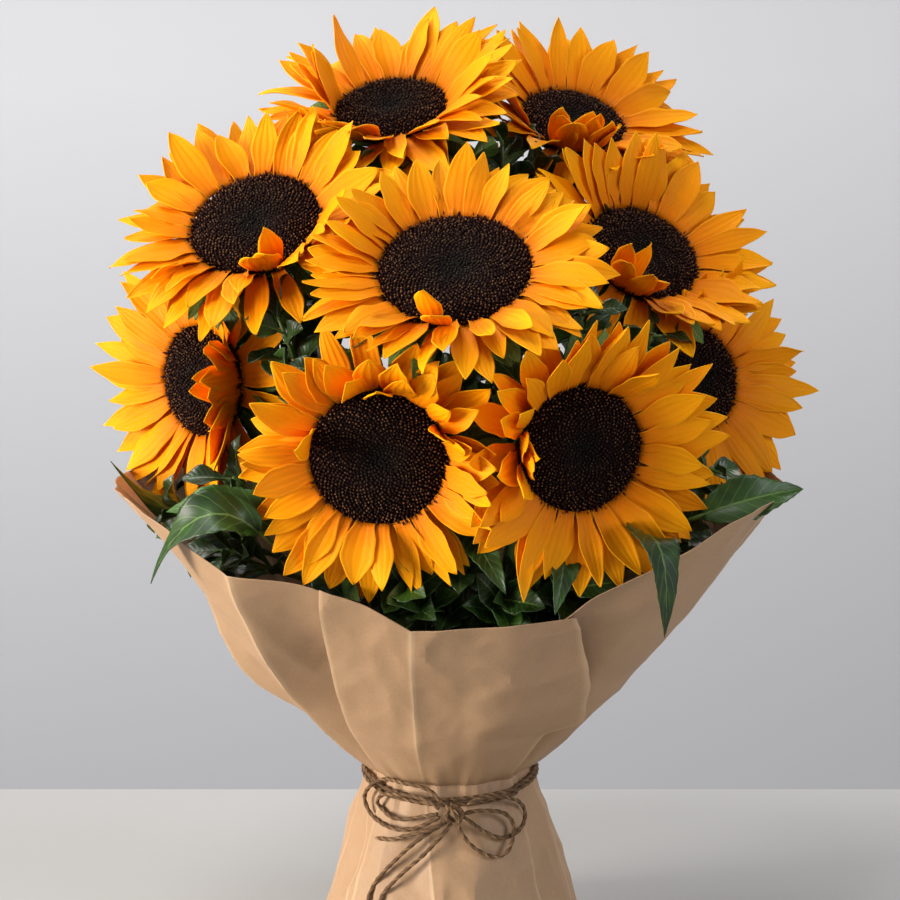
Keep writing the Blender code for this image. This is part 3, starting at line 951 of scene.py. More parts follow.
@dataclass(frozen=True)
class Leaf:
    """One leaf on a smooth curve through three points, mm, and its width there.

    Attributes:
        base: where its stalk starts.
        middle: a point half way.
        tip: where it ends.
        width: the blade's width, mm.
        kind: its shape and finish.
        cup: how far its edges rise above the midrib, as a share of half the width.
    """

    base: tuple[float, float, float]
    middle: tuple[float, float, float]
    tip: tuple[float, float, float]
    width: float
    kind: Blade = BROAD
    cup: float = 0.3

    def outline(self, s: np.ndarray) -> np.ndarray:
        """Half the width at each share of the length, of the widest."""
        skew, full = {
            BROAD: (0.62, 0.95),
            NARROW: (0.85, 1.1),
            ROUND: (0.95, 0.6),
        }[self.kind]
        return np.sin(math.pi * np.clip((s - 0.12) / 0.88, 0, 1) ** skew) ** full

    def draw(self, shape: Shape, rng: np.random.Generator) -> None:
        """Adds the blade and its stalk to a shape.

        Args:
            shape: where they go.
            rng: random numbers for the waves and the tone.
        """
        base, middle, tip = (np.array(point) * MM for point in (self.base, self.middle, self.tip))
        bend = middle * 2 - (base + tip) / 2
        rows, columns = 34, 15
        s = np.linspace(0, 1, rows)[:, None]
        spine = base * (1 - s) ** 2 + bend * (2 * s * (1 - s)) + tip * s**2
        along = (bend - base) * (1 - s) + (tip - bend) * s
        along /= np.linalg.norm(along, axis=1, keepdims=True)
        reach = np.hypot(spine[:, 0], spine[:, 1])
        outward = np.stack([spine[:, 0], spine[:, 1], 0.6 * reach], axis=1)
        side = np.cross(along, outward)
        side /= np.linalg.norm(side, axis=1, keepdims=True)
        face = np.cross(side, along)
        c = np.linspace(-1, 1, columns)
        half = 0.5 * self.width * MM * self.outline(s[:, 0])
        if self.kind is BROAD:
            teeth = np.linalg.norm(tip - base) / TOOTH
            half = half * (1 - 0.10 * ((s[:, 0] * teeth) % 1.0))
        turns = rng.uniform(1.5, 2.5) * s + rng.random()
        wave = 0.10 * self.width * MM * np.sin(2 * math.pi * turns)
        rise = half[:, None] * self.cup * np.abs(c) ** 1.5 * 1.2
        rise = rise + wave * c * np.abs(c) * (half / half.max())[:, None]
        if self.kind is BROAD:
            quilt = 0.35 * MM * np.cos(2 * math.pi * (9 * s - VEIN_SLANT * np.abs(c)))
            rise = rise + quilt * (1 - np.abs(c)) * np.minimum(1, half / (3 * MM))[:, None]
        grid = (
            spine[:, None]
            + side[:, None] * (half[:, None] * c)[..., None]
            + face[:, None] * (rise + 0.5 * MM)[..., None]
        )
        first = 4  # the rows before this one have no width
        marks = {"along": s[first:], "across": c, "tone": rng.random()}
        shape.add_grid(grid[first:], marks)
        stalk = [Vector(point) for point in spine[: rows // 2 : 2]]
        thick = np.linspace(0.95, 0.45, len(stalk)) * MM
        tube = sweep(stalk, np.outer(thick, np.ones(8)))
        shape.add_grid(tube, {"along": 0.5, "across": 0.0, "tone": 0.8}, tube=True)


FRAME_LEAVES = (
    Leaf((-82, -86, 232), (-114, -109, 253), (-142, -88, 215), 25, cup=0.2),
    Leaf((-80, -82, 238), (-106, -98, 254), (-134, -88, 250), 24, cup=0.3),
    Leaf((-105, -10, 216), (-139, -22, 236), (-166, -32, 263), 11, NARROW),
    Leaf((8, -92, 244), (16, -108, 234), (26, -120, 218), 16),
    Leaf((55, -88, 236), (53, -104, 226), (49, -115, 207), 15),
    Leaf((82, -80, 232), (97, -117, 240), (100, -118, 197), 27, cup=0.1),
    Leaf((114, -64, 240), (144, -66, 251), (171, -52, 253), 24, cup=0.3),
    Leaf((-4, -62, 196), (-12, -84, 206), (-30, -106, 210), 22, ROUND),
    Leaf((22, -62, 194), (26, -84, 204), (20, -104, 210), 18, NARROW),
    Leaf((-52, -74, 200), (-48, -94, 212), (-42, -111, 212), 12, NARROW),
    Leaf((-66, -42, 290), (-74, -58, 308), (-78, -68, 326), 20, ROUND, 0.5),
    Leaf((-52, -50, 268), (-62, -66, 290), (-66, -80, 304), 22, ROUND, 0.5),
    Leaf((62, -30, 300), (82, -46, 322), (98, -60, 330), 18, NARROW),
    Leaf((30, 104, 262), (44, 138, 268), (52, 160, 248), 24),
)


@dataclass(frozen=True)
class Sprig:
    """A twig of filling green that carries leaves on both sides, turn and turn about.

    Attributes:
        foot: where the twig starts, mm.
        top: where it ends, mm.
        leaves: how many leaves it has.
        length: a leaf's length, mm.
        width: a leaf's width, mm.
        kind: the shape of its leaves.
    """

    foot: tuple[float, float, float]
    top: tuple[float, float, float]
    leaves: int
    length: float
    width: float
    kind: Blade

    def draw(self, shape: Shape, rng: np.random.Generator) -> None:
        """Adds the twig and its leaves to a shape.

        Args:
            shape: where they go.
            rng: random numbers for how the leaves stand.
        """
        foot, top = np.array(self.foot), np.array(self.top)
        way = (top - foot) / np.linalg.norm(top - foot)
        out = np.array((top[0], top[1], 0.0))
        out /= max(np.linalg.norm(out), 1e-6)
        side = np.cross(way, out)
        side /= np.linalg.norm(side)
        up = np.cross(side, way)

        def on_twig(share: float) -> np.ndarray:
            """The twig's middle at a share of its length."""
            return foot + (top - foot) * share + out * TWIG_BOW * math.sin(math.pi * share)

        path = [Vector(on_twig(k / 8) * MM) for k in range(9)]
        tube = sweep(path, np.outer(np.linspace(1.6, 0.7, 9) * MM, np.ones(8)))
        shape.add_grid(tube, {"along": 0.5, "across": 0.0, "tone": 0.6}, tube=True)
        for k in range(self.leaves):
            share = 0.3 + 0.7 * (k + 0.5) / self.leaves
            angle = k * GOLDEN_ANGLE + rng.normal(0, 0.3)
            spread = side * math.cos(angle) + up * math.sin(angle)
            base = on_twig(share)
            long = self.length * rng.uniform(0.8, 1.15) * (1.15 - 0.4 * share)
            aim = way * rng.uniform(0.55, 0.95) + spread
            tip = base + aim / np.linalg.norm(aim) * long
            middle = (base + tip) / 2 + (way * 0.10 + out * 0.06) * long
            width = self.width * rng.uniform(0.85, 1.15)
            points = (tuple(point) for point in (base, middle, tip))
            Leaf(*points, width, self.kind, rng.uniform(0.2, 0.6)).draw(shape, rng)


SPRIGS = tuple(
    Sprig(row[:3], row[3:6], *row[6:])
    for row in (
        (-40, -20, 250, -82, -62, 340, 11, 27, 13, ROUND),
        (-30, -30, 240, -60, -84, 318, 10, 26, 14, ROUND),
        (-44, -8, 260, -64, -20, 352, 8, 26, 11, ROUND),
        (0, -20, 250, -8, -92, 322, 9, 26, 12, ROUND),
        (-60, -20, 220, -104, -66, 262, 10, 30, 12, NARROW),
        (30, -16, 270, 64, -58, 342, 12, 28, 9, NARROW),
        (50, -6, 270, 100, -30, 326, 12, 28, 9, NARROW),
        (40, 20, 290, 66, 34, 372, 10, 26, 10, NARROW),
        (70, 20, 290, 128, 54, 352, 10, 26, 9, NARROW),
        (0, 20, 320, 8, 6, 408, 10, 27, 11, NARROW),
        (-20, 10, 320, -46, 6, 400, 8, 25, 10, NARROW),
        (20, -30, 230, 36, -96, 268, 10, 28, 12, NARROW),
        (10, -30, 190, 4, -92, 232, 10, 30, 13, NARROW),
        (-30, -40, 180, -50, -78, 210, 9, 30, 14, NARROW),
        (-10, -50, 186, -22, -88, 214, 9, 34, 17, BROAD),
        (14, -46, 178, 24, -88, 208, 9, 34, 17, BROAD),
        (34, -40, 184, 56, -84, 212, 9, 34, 16, BROAD),
        (-2, -50, 178, 0, -80, 200, 8, 28, 14, NARROW),
        (-30, 10, 280, -52, -10, 368, 9, 28, 14, ROUND),
        (-10, 0, 290, -40, -36, 356, 9, 28, 14, ROUND),
        (10, -20, 270, 30, -62, 334, 9, 28, 13, ROUND),
        (30, 0, 290, 50, -26, 362, 9, 28, 13, ROUND),
        (-60, 20, 250, -98, 8, 336, 9, 28, 13, ROUND),
        (60, 20, 260, 104, 8, 326, 9, 28, 13, ROUND),
        (-14, 20, 330, -24, 2, 398, 8, 26, 12, ROUND),
        (20, 30, 330, 26, 34, 414, 8, 26, 12, ROUND),
        (44, -30, 190, 72, -70, 220, 10, 28, 12, NARROW),
        (60, -10, 220, 128, -42, 262, 10, 30, 13, NARROW),
        (70, 20, 220, 142, 40, 268, 9, 32, 15, BROAD),
        (-70, 10, 220, -142, 20, 262, 9, 32, 15, BROAD),
        (-40, 50, 220, -92, 116, 262, 10, 32, 14, BROAD),
        (0, 60, 230, -14, 128, 280, 10, 30, 13, NARROW),
        (50, 60, 230, 82, 102, 262, 10, 30, 14, BROAD),
        (30, 60, 280, 52, 96, 356, 9, 26, 11, ROUND),
        (-40, 50, 290, -62, 84, 366, 9, 26, 11, ROUND),
        (20, 60, 320, 30, 92, 402, 8, 26, 10, NARROW),
        (24, 30, 320, 40, 42, 404, 9, 27, 13, ROUND),
        (-34, 0, 250, -58, 2, 330, 9, 28, 14, ROUND),
        (4, 0, 230, 14, 6, 300, 10, 30, 15, ROUND),
        (6, -10, 220, 4, -40, 286, 10, 30, 14, NARROW),
        (-60, 10, 220, -104, 4, 292, 10, 30, 14, ROUND),
        (-44, 20, 270, -78, 22, 344, 10, 28, 14, ROUND),
        (60, 20, 250, 96, 34, 318, 10, 26, 13, ROUND),
        (-30, 30, 320, -60, 30, 398, 9, 26, 12, ROUND),
        (60, -30, 200, 110, -62, 232, 10, 30, 14, NARROW),
        (14, -10, 210, 32, -14, 280, 10, 28, 13, NARROW),
        (30, 10, 250, 60, 4, 312, 9, 28, 14, ROUND),
        (10, 0, 230, 26, -16, 298, 9, 28, 13, ROUND),
        (60, -20, 200, 122, -38, 236, 9, 28, 14, BROAD),
        (-60, -30, 200, -108, -64, 226, 10, 30, 14, NARROW),
        (-60, -10, 200, -134, -40, 240, 9, 30, 15, NARROW),
    )
)


def grow_leaves(finishes: dict[str, bpy.types.Material]) -> None:
    """Makes the frame's leaves, and the sprigs of filling green between them."""
    groups = (
        ("foliage", FRAME_LEAVES, 300, 0.4 * MM, True),
        ("sprig", SPRIGS, 400, 0.35 * MM, False),
    )
    for name, plants, seed, thickness, in_frame in groups:
        for number, plant in enumerate(plants, start=1):
            shape = Shape()
            plant.draw(shape, np.random.default_rng(seed + number))
            finish = finishes["broad_leaf" if plant.kind is BROAD else "dark_leaf"]
            piece = shape.make(f"{name}_{number:02d}", finish, thickness=thickness)
            wear(piece, "leaf", *([f"leaf_{number:02d}"] if in_frame else []))


# ---------------------------------------------------------------- paper


@dataclass(frozen=True)
class Fold:
    """A line down the sheet, from the rim through the tie to the hem.

    Attributes:
        rim: its angle at the rim, degrees anticlockwise from the right.
        radius: its distance from the axis at the rim, mm.
        height: its height at the rim, mm.
        tie: its angle at the tie, degrees.
        lift: how far outside the frame's wall the sheet lies here, mm.
        sharp: whether the sheet is creased here.
        hem: its angle at the hem, degrees, where it differs from the tie's.
        bends: how the line strays, from the tie up: level, degrees, mm outwards.
    """

    rim: float
    radius: float
    height: float
    tie: float
    lift: float = 0.0
    sharp: bool = False
    hem: float | None = None
    bends: tuple[tuple[float, float, float], ...] = ()

    def flare(self, level: float) -> tuple[float, float, float]:
        """A point above the tie as angle, radius and height: level 0 at the tie, 1 at the rim."""
        angle = self.tie + (self.rim - self.tie) * level**0.7
        radius = WAIST_RADIUS + (self.radius * MM - WAIST_RADIUS) * level**FLARE_CURVE
        radius += self.lift * MM
        if self.bends:
            levels, turns, pushes = zip(*self.bends)
            angle += float(np.interp(level, levels, turns))
            radius += float(np.interp(level, levels, pushes)) * MM
        height = TIE_HEIGHT + (self.height * MM - TIE_HEIGHT) * level
        return math.radians(angle), radius, height

    def skirt(self, level: float) -> tuple[float, float, float]:
        """A point below the tie: level 0 at the tie, 1 at the hem."""
        drop = (TIE_HEIGHT - HEM_LIFT) * level
        hem = self.tie if self.hem is None else self.hem
        angle = self.tie + (hem - self.tie) * min(1.0, level * 1.6)
        radius = WAIST_RADIUS + SKIRT_SLOPE * drop + self.lift * MM
        return math.radians(angle), radius, TIE_HEIGHT - drop


# How lines stray in each of the sheet's features: level, degrees, mm outwards.
DOG_EAR = ((0, 0, 0), (0.17, 0, -2), (0.30, 0, 12), (0.36, 0, 12), (0.7, 0, -5), (1, 0, 1))
HOLLOW = ((0, 0, 0), (0.2, 0, -7), (0.45, 0, -13), (0.7, 0, -11), (1, 0, -6))
TUCK = ((0, 0, 0), (0.15, 0, -8), (0.4, 0, -14), (0.7, 0, -16), (1, 0, -15))
POCKET = ((0, 0, 0), (0.12, 0, -9), (0.35, 0, -18), (0.7, 0, -13), (1, 0, -3))
SHEET = (
    Fold(86, 135, 250, 76, 0.0),
    Fold(104, 137, 250, 92, 0.9),
    Fold(120, 141, 249, 106),
    Fold(136, 146, 248, 120),
    Fold(152, 152, 247, 134, sharp=True),
    Fold(168, 158, 248, 148),
    Fold(184, 164, 250, 161, bends=DOG_EAR),
    Fold(196, 168, 252, 173, sharp=True, bends=DOG_EAR),
    Fold(206, 172, 254, 184, sharp=True, bends=DOG_EAR),
    Fold(215, 164, 243, 193),
    Fold(228, 156, 226, 208, sharp=True, bends=((0, 0, 0), (0.3, -3, 2), (0.6, 0, 4), (1, 0, 0))),
    Fold(238, 141, 222, 217, bends=HOLLOW),
    Fold(247, 134, 212, 229, bends=TUCK),
    Fold(258, 121, 196, 245, bends=TUCK, sharp=True),
    Fold(243.9, 136, 222, 223, 2.4, sharp=True, hem=216, bends=((0, 0, 0), (0.4, 0, 2), (1, 0, 0))),
    Fold(252, 127, 214, 239, 2.4, bends=((0, 0, 0), (0.5, 0, 1.5), (1, 0, 0))),
    Fold(261.3, 118, 200, 254, 3.0, sharp=True, hem=264, bends=((0, 0, 0), (0.5, 0, 2), (1, 0, 0))),
    Fold(273, 117, 201, 270, 1.6),
    Fold(286, 118, 202, 288, 1.6, bends=((0, 0, 0), (0.3, 0, 0), (0.45, 0, 3), (1, 0, 0))),
    Fold(
        299.2, 121, 203, 315, 2.4, sharp=True, hem=318,
        bends=((0, 0, 0), (0.05, -4, 0), (0.29, 3, 0), (0.36, 12.5, 8), (0.7, 5.5, 4), (1, 0, 0)),
    ),
    Fold(286, 112, 199, 298, 0.0, sharp=True, bends=POCKET),
    Fold(297, 118, 200, 302, 0.0, bends=POCKET),
    Fold(303.5, 131, 214, 314, bends=POCKET),
    Fold(314, 148, 230, 326, bends=((0, 0, 0), (0.3, 0, -3), (1, 0, 0))),
    Fold(325, 164, 247, 337),
    Fold(338, 170, 251, 348, sharp=True),
    Fold(352, 167, 248, 360),
    Fold(368, 163, 246, 373),
    Fold(384, 156, 246, 386, sharp=True),
    Fold(400, 149, 247, 399),
    Fold(416, 144, 248, 412),
    Fold(432, 137, 249, 425),
    Fold(448, 135, 250, 438, 0.2),
    Fold(462, 137, 250, 450, 1.6),
)


# Crumples, as a size in mm and a share of the depth, and how far the gathers reach.
CRUMPLES = ((58, 3.6), (31, 3.0), (14, 1.1))
GATHER_REACH = 17 * MM


@dataclass
class Wrap:
    """The sheet of kraft paper, folded round the bunch and gathered at the tie.

    Attributes:
        folds: the lines down the sheet, in order round it.
        columns: how many points there are from one fold to the next.
        flare_rows: rows of points above the tie.
        skirt_rows: rows of points below it.
        crumple: how far the sheet is dented.
    """

    folds: tuple[Fold, ...] = SHEET
    columns: int = 10
    flare_rows: int = 74
    skirt_rows: int = 44
    crumple: float = 1.0 * MM

    def round_the_bunch(self, points: list[Vector]) -> list[Vector]:
        """Fills in a row between its folds, straight to a crease and smooth past the others.

        Args:
            points: the row's point on each fold.

        Returns:
            All the row's points.
        """
        last = len(points) - 1
        slopes = []
        for i, fold in enumerate(self.folds):
            before = points[i] - points[max(i - 1, 0)]
            after = points[min(i + 1, last)] - points[i]
            if fold.sharp or i in (0, last):
                slopes.append((before if i else after, after if i < last else before))
            else:
                slopes.append(((before + after) / 2, (before + after) / 2))
        row = []
        for i in range(last):
            a, d = points[i], points[i + 1]
            b, c = a + slopes[i][1] / 3, d - slopes[i + 1][0] / 3
            row += [bezier(a, b, c, d, k / self.columns) for k in range(self.columns)]
        return row + [points[-1]]

    def crease_wear_and_highlight(self, column: int, level: float) -> float:
        """How strongly a crease is painted paler here, for its wear and for a painted highlight on
        its ridge: up to 1 on a crease, 0 away from it.
        """
        fold, beside = divmod(column, self.columns)
        return min(1.0, 0.4 + level) if beside == 0 and self.folds[fold].sharp else 0.0

    def dent(self, point: Vector, level: float, below: bool) -> Vector:
        """Moves a point in and out: crumples all over, gathers at the tie, a wavy rim.

        Args:
            point: where the flat sheet would be.
            level: how far from the tie, 0 to 1.
            below: whether the point is below the tie.

        Returns:
            The new place.
        """
        out = Vector((point.x, point.y, 0)).normalized()
        angle = math.atan2(point.y, point.x)
        move = 0.0
        stronger = 1.7 if below else 1.0
        for size, share in CRUMPLES:
            spot = Vector((point.x + size, point.y, point.z * 0.75)) / (size * MM)
            move += stronger * self.crumple * share * (0.21 - abs(noise.noise(spot)))
        near_tie = math.exp(-(((point.z - BAND_HEIGHT) / GATHER_REACH) ** 2))
        pleat = 0.5 + 0.5 * math.sin(17 * angle + 2.2 * math.sin(3 * angle))
        fine_pleat = 0.5 + 0.5 * math.sin(41 * angle + 1.5 * math.sin(5 * angle))
        move = move * (1 - near_tie) - near_tie * (1.4 * pleat + 0.6 * fine_pleat) * MM
        new = point + out * move
        if not below:
            new.z += 1.2 * MM * level**6 * noise.noise(out * 4.0)
        elif level > 0.96:
            new.z = max(new.z, HEM_LIFT)
        return new

    def build(self, finish: bpy.types.Material) -> None:
        """Makes the sheet, from the rim down to the hem."""
        levels = [(1 - (k / self.flare_rows) ** 1.25, False) for k in range(self.flare_rows)]
        levels += [((k / self.skirt_rows) ** 1.1, True) for k in range(self.skirt_rows + 1)]
        rows, crease_wear_and_highlight = [], []
        for level, below in levels:
            lines = [fold.skirt(level) if below else fold.flare(level) for fold in self.folds]
            line = [polar(radius, angle, height) for angle, radius, height in lines]
            row = [self.dent(point, level, below) for point in self.round_the_bunch(line)]
            rows.append([tuple(point) for point in row])
            crease_wear_and_highlight.append([self.crease_wear_and_highlight(column, level) for column in range(len(row) - 1)] + [0.0])
        shape = Shape()
        # The fold mark paints the creases paler: partly wear, partly a painted highlight.
        shape.add_grid(np.array(rows), {"fold": np.array(crease_wear_and_highlight)})
        piece = shape.make("paper_sheet", finish, thickness=0.35 * MM, sharp=11)
        wear(piece, "kraft_paper", "paper_wrap")

    def reach(self, angle: float, height: float) -> float:
        """How far the sheet's outside is from the axis, for the twine that lies on it.

        Args:
            angle: the direction, radians.
            height: the height.

        Returns:
            The largest of its layers' distances there, with what the crumples may add.
        """
        line = []
        for fold in self.folds:
            if height <= TIE_HEIGHT:
                line.append(fold.skirt((TIE_HEIGHT - height) / (TIE_HEIGHT - HEM_LIFT)))
            else:
                line.append(fold.flare((height - TIE_HEIGHT) / (fold.height * MM - TIE_HEIGHT)))
        most = WAIST_RADIUS
        for (first, near, _), (last, far, _) in zip(line, line[1:]):
            low, high = sorted((first, last))
            turn = low + (angle - low) % (2 * math.pi)
            if turn <= high:
                share = (turn - first) / (last - first) if last != first else 0.0
                most = max(most, near + (far - near) * share)
        return most + 1.7 * self.crumple


# ---------------------------------------------------------------- twine


@dataclass(frozen=True)
class Yarn:
    """Two-ply twine: two strands laid round each other.

    Attributes:
        strand: the radius of the whole cord between its two bumps.
        bump: how far each strand stands out of that.
        lay: the length of one full turn of the strands.
        sides: how many corners each ring of points has.
    """

    strand: float = 0.99 * MM
    bump: float = 0.17 * MM
    lay: float = 10.5 * MM
    sides: int = 14

    def lay_up(self, shape: Shape, path: list[Vector], closed_ends: float = 1.0) -> None:
        """Adds a twisted cord to a shape.

        Args:
            shape: where it goes.
            path: the centreline, with points about 0.7 mm apart.
            closed_ends: the width of the two last rings, as a share of the others'.
        """
        turns = np.arange(self.sides) * 2 * math.pi / self.sides
        gone = np.cumsum([0.0] + [(b - a).length for a, b in zip(path, path[1:])])
        phase = turns[None] - (2 * math.pi * gone / self.lay)[:, None]
        radii = self.strand + self.bump * np.cos(2 * phase)
        uneven = np.array([noise.noise(Vector((g / (4 * MM), 0.3, 0.7))) for g in gone])
        radii *= 1 + 0.10 * uneven[:, None]
        radii[[0, -1]] *= closed_ends
        grid = sweep(path, radii)
        marks = {
            "along": (gone / self.lay)[:, None],
            "around": np.cos(phase),
            # How deep between the two strands a point lies; the finish paints shade there.
            "valley": 0.5 - 0.5 * np.cos(2 * phase),
        }
        shape.add_grid(grid, marks, tube=True)


@dataclass(frozen=True)
class Cord:
    """A free length of the twine, by its route in front of the wrap.

    Attributes:
        name: the node's name after "twine_", and the piece's after "cord_".
        route: sideways, height and clearance above the paper, mm.
        loop: whether its far end goes back into the knot.
    """

    name: str
    route: tuple[tuple[float, float, float], ...]
    loop: bool


CORDS = (
    Cord(
        "loop_left_outer",
        (
            (-4, 94, 2), (-9, 99, 1.6), (-15, 101.6, 1), (-24, 102, 0), (-33, 100.2, 0),
            (-40, 95.5, 0), (-43, 88.5, 0), (-41, 82.8, 0), (-36, 79.5, 0), (-28, 78.6, 0),
            (-19, 79.8, 0), (-11.5, 83.3, 0.4), (-5, 87.3, 1.5),
        ),
        True,
    ),
    Cord(
        "loop_left_inner",
        (
            (-5.2, 92, 3), (-11, 95.6, 2.4), (-18.5, 96.8, 1.2), (-27, 96, 0.4),
            (-33.6, 93.4, 0), (-36.4, 89.6, 0), (-34.4, 86, 0), (-29.4, 83.9, 0),
            (-22.6, 83.9, 0), (-15.2, 86.2, 1), (-6, 89.6, 2.6),
        ),
        True,
    ),
    Cord(
        "loop_right_upper",
        (
            (8.6, 93, 2), (12, 95, 1.6), (17.6, 96, 1), (27, 94.6, 0), (34.6, 89.8, 0),
            (37.6, 82.6, 0), (36, 76.8, 0), (31, 74, 0), (24.4, 74.9, 0), (15.4, 79.6, 0),
            (7.6, 86, 1.2), (4.6, 87.6, 1.8),
        ),
        True,
    ),
    Cord(
        "loop_right_lower",
        (
            (4, 84, 1.4), (5.4, 79.4, 0.6), (10, 73, 0), (17.4, 67.8, 0), (24, 66.2, 0.6),
            (29, 69, 2.2), (31.4, 74.4, 3.2), (31.4, 80.4, 2.4), (27.2, 86.2, 1.2),
            (20.4, 89.4, 1.2), (13.6, 90.2, 2), (9.2, 90, 3), (5.4, 89, 3),
        ),
        True,
    ),
    Cord(
        "tail_long_a",
        (
            (-1.6, 84.8, 1.6), (-5, 82.4, 1), (-11, 78.6, 0), (-18.8, 72.4, 0),
            (-26.2, 65, 0), (-33, 57.4, 0), (-38, 49.2, 0), (-41, 41.5, 0), (-42, 34, 0),
        ),
        False,
    ),
    Cord(
        "tail_long_b",
        (
            (0.8, 84, 1.6), (-1.6, 80.6, 1), (-7, 74.6, 0), (-14, 67.4, 0), (-22, 60, 0),
            (-29, 52.6, 0), (-33.6, 45.6, 0), (-36.4, 38, 0),
        ),
        False,
    ),
    Cord(
        "tail_short",
        (
            (-3.6, 84.4, 3.6), (-9.6, 82, 4.6), (-17, 79.2, 4.4), (-23, 76.6, 2.4),
            (-29, 73.6, 0.6), (-36.5, 71.4, 0),
        ),
        False,
    ),
)


# The knot, mm: its middle, its turns by tilt, width, height, depth and shift, and the strand
# that crosses over them.
KNOT_MIDDLE = (2, 89.5, 3.2)
KNOT_TURNS = (
    (0.5, 4.2, 3.6, 1.6, 0.0),
    (-0.9, 3.9, 3.0, 2.0, 0.5),
    (1.5, 3.4, 3.2, 1.7, -0.6),
)
KNOT_OVER = (
    (-3.4, 1.2, 3.6),
    (-1.6, -2.2, 3.0),
    (0.6, -3.5, 0.4),
    (2.2, -2.6, -2.6),
    (2.8, 1.2, -4.0),
)


@dataclass
class Tie:
    """The twine: a band round the waist, a knot, four loops and three tails.

    Attributes:
        wrap: the paper it lies on.
        yarn: what it is laid up from.
    """

    wrap: Wrap
    yarn: Yarn = Yarn()

    def band_height(self, angle: float) -> float:
        """The band's middle: lowest at the front, where the knot pulls it down."""
        return BAND_HEIGHT + BAND_DIP * math.sin(angle)

    def in_front(self, sideways: float, height: float, clearance: float) -> Vector:
        """A point in front of the paper, clear of it and of the band.

        Args:
            sideways: X, mm.
            height: Z, mm.
            clearance: how far it lies off the paper, mm, beside what it needs.

        Returns:
            The point.
        """
        x, z = sideways * MM, height * MM
        apart = abs(z - self.band_height(math.atan2(-WAIST_RADIUS, x)))
        share = 1 - min(1, max(0, apart - BAND_HALF - TWINE) / BAND_HALF)
        lift = CORD_LIFT + clearance * MM + (TWINE + 3 * GAP) * share
        deep = math.sqrt(WAIST_RADIUS**2 - min(x * x, 0.9 * WAIST_RADIUS**2))
        radius = self.wrap.reach(math.atan2(-deep, x), z) + lift
        return Vector((x, -math.sqrt(radius * radius - x * x), z))

    def lay_cord(self, cord: Cord, finish: bpy.types.Material) -> None:
        """Makes one free cord."""
        path = smooth_route([self.in_front(*place) for place in cord.route], 0.7 * MM)
        shape = Shape()
        self.yarn.lay_up(shape, path, closed_ends=0.5)
        if not cord.loop:
            self.fray(shape, path)
        piece = shape.make(f"cord_{cord.name}", finish)
        path[0]
        sum((b - a).length for a, b in zip(path, path[1:]))
        wear(piece, "twine", f"twine_{cord.name}")

    def fray(self, shape: Shape, path: list[Vector]) -> None:
        """Adds loose fibres to the cut end of a cord's centreline."""
        rng = np.random.default_rng(len(path))
        end, way = path[-1], (path[-1] - path[-4]).normalized()
        for _ in range(14):
            aim = (way + Vector(rng.normal(0, 0.28, 3))).normalized()
            reach = rng.uniform(1.2, 2.6) * MM
            line = [end - way * 0.8 * MM + aim * reach * k / 4 for k in range(5)]
            grid = sweep(line, np.outer(np.linspace(0.12, 0.04, 5) * MM, np.ones(4)))
            shape.add_grid(grid, {"along": 0.3, "around": 0.2, "valley": 0.1}, tube=True)

    def bind(self, finish: bpy.types.Material) -> None:
        """Makes the two turns of twine round the waist."""
        shape = Shape()
        for side in (-1, 1):
            path = []
            for k in range(421):
                angle = 2 * math.pi * k / 420 - 0.5 * math.pi
                height = self.band_height(angle) + side * 1.2 * MM
                height += 0.25 * MM * math.sin(5 * angle + side)
                reach = max(self.wrap.reach(angle, height + d * MM) for d in (-1, 1))
                path.append(polar(reach - 0.7 * MM, angle, height))
            self.yarn.lay_up(shape, path)
        wear(shape.make("twine_turns", finish), "twine", "twine_band")

    def tie_knot(self, finish: bpy.types.Material) -> None:
        """Makes the knot: turns of twine over and round each other, drawn tight."""
        shape = Shape()
        middle = self.in_front(*KNOT_MIDDLE)
        for tilt, wide, high, deep, shift in KNOT_TURNS:
            path = []
            for k in range(41):
                turn = 2 * math.pi * k / 40
                x, z = wide * math.cos(turn), high * math.sin(turn)
                y = -deep * math.cos(2 * turn + tilt) - shift
                across = x * math.cos(tilt) - z * math.sin(tilt)
                up = x * math.sin(tilt) + z * math.cos(tilt)
                path.append(middle + Vector((across, y, up)) * MM)
            self.yarn.lay_up(shape, path)
        over = [middle + Vector(place) * MM for place in KNOT_OVER]
        self.yarn.lay_up(shape, smooth_route(over, 0.6 * MM))
        wear(shape.make("knot", finish), "twine", "twine_knot")

    def build(self, finish: bpy.types.Material) -> None:
        """Makes every piece of twine."""
        for cord in CORDS:
            self.lay_cord(cord, finish)
        self.bind(finish)
        self.tie_knot(finish)


# ---------------------------------------------------------------- studio


@dataclass(frozen=True)
class Softbox:
    """A soft lamp: where it is, what it looks at, its size and its power in watts."""

    name: str
    place: tuple[float, float, float]
    target: tuple[float, float, float]
    size: float
    power: float
    colour: str = "#ffffff"

    def hang(self) -> None:
        """Puts the lamp into the scene."""
        lamp = bpy.data.lights.new(self.name, "AREA")
        lamp.shape = "DISK"
        lamp.size = self.size
        lamp.energy = self.power
        lamp.color = linear(self.colour)[:3]
        thing = put_in_scene(self.name, lamp)
        thing.location = self.place
        aim = Vector(self.target) - Vector(self.place)
        thing.rotation_euler = aim.to_track_quat("-Z", "Y").to_euler()


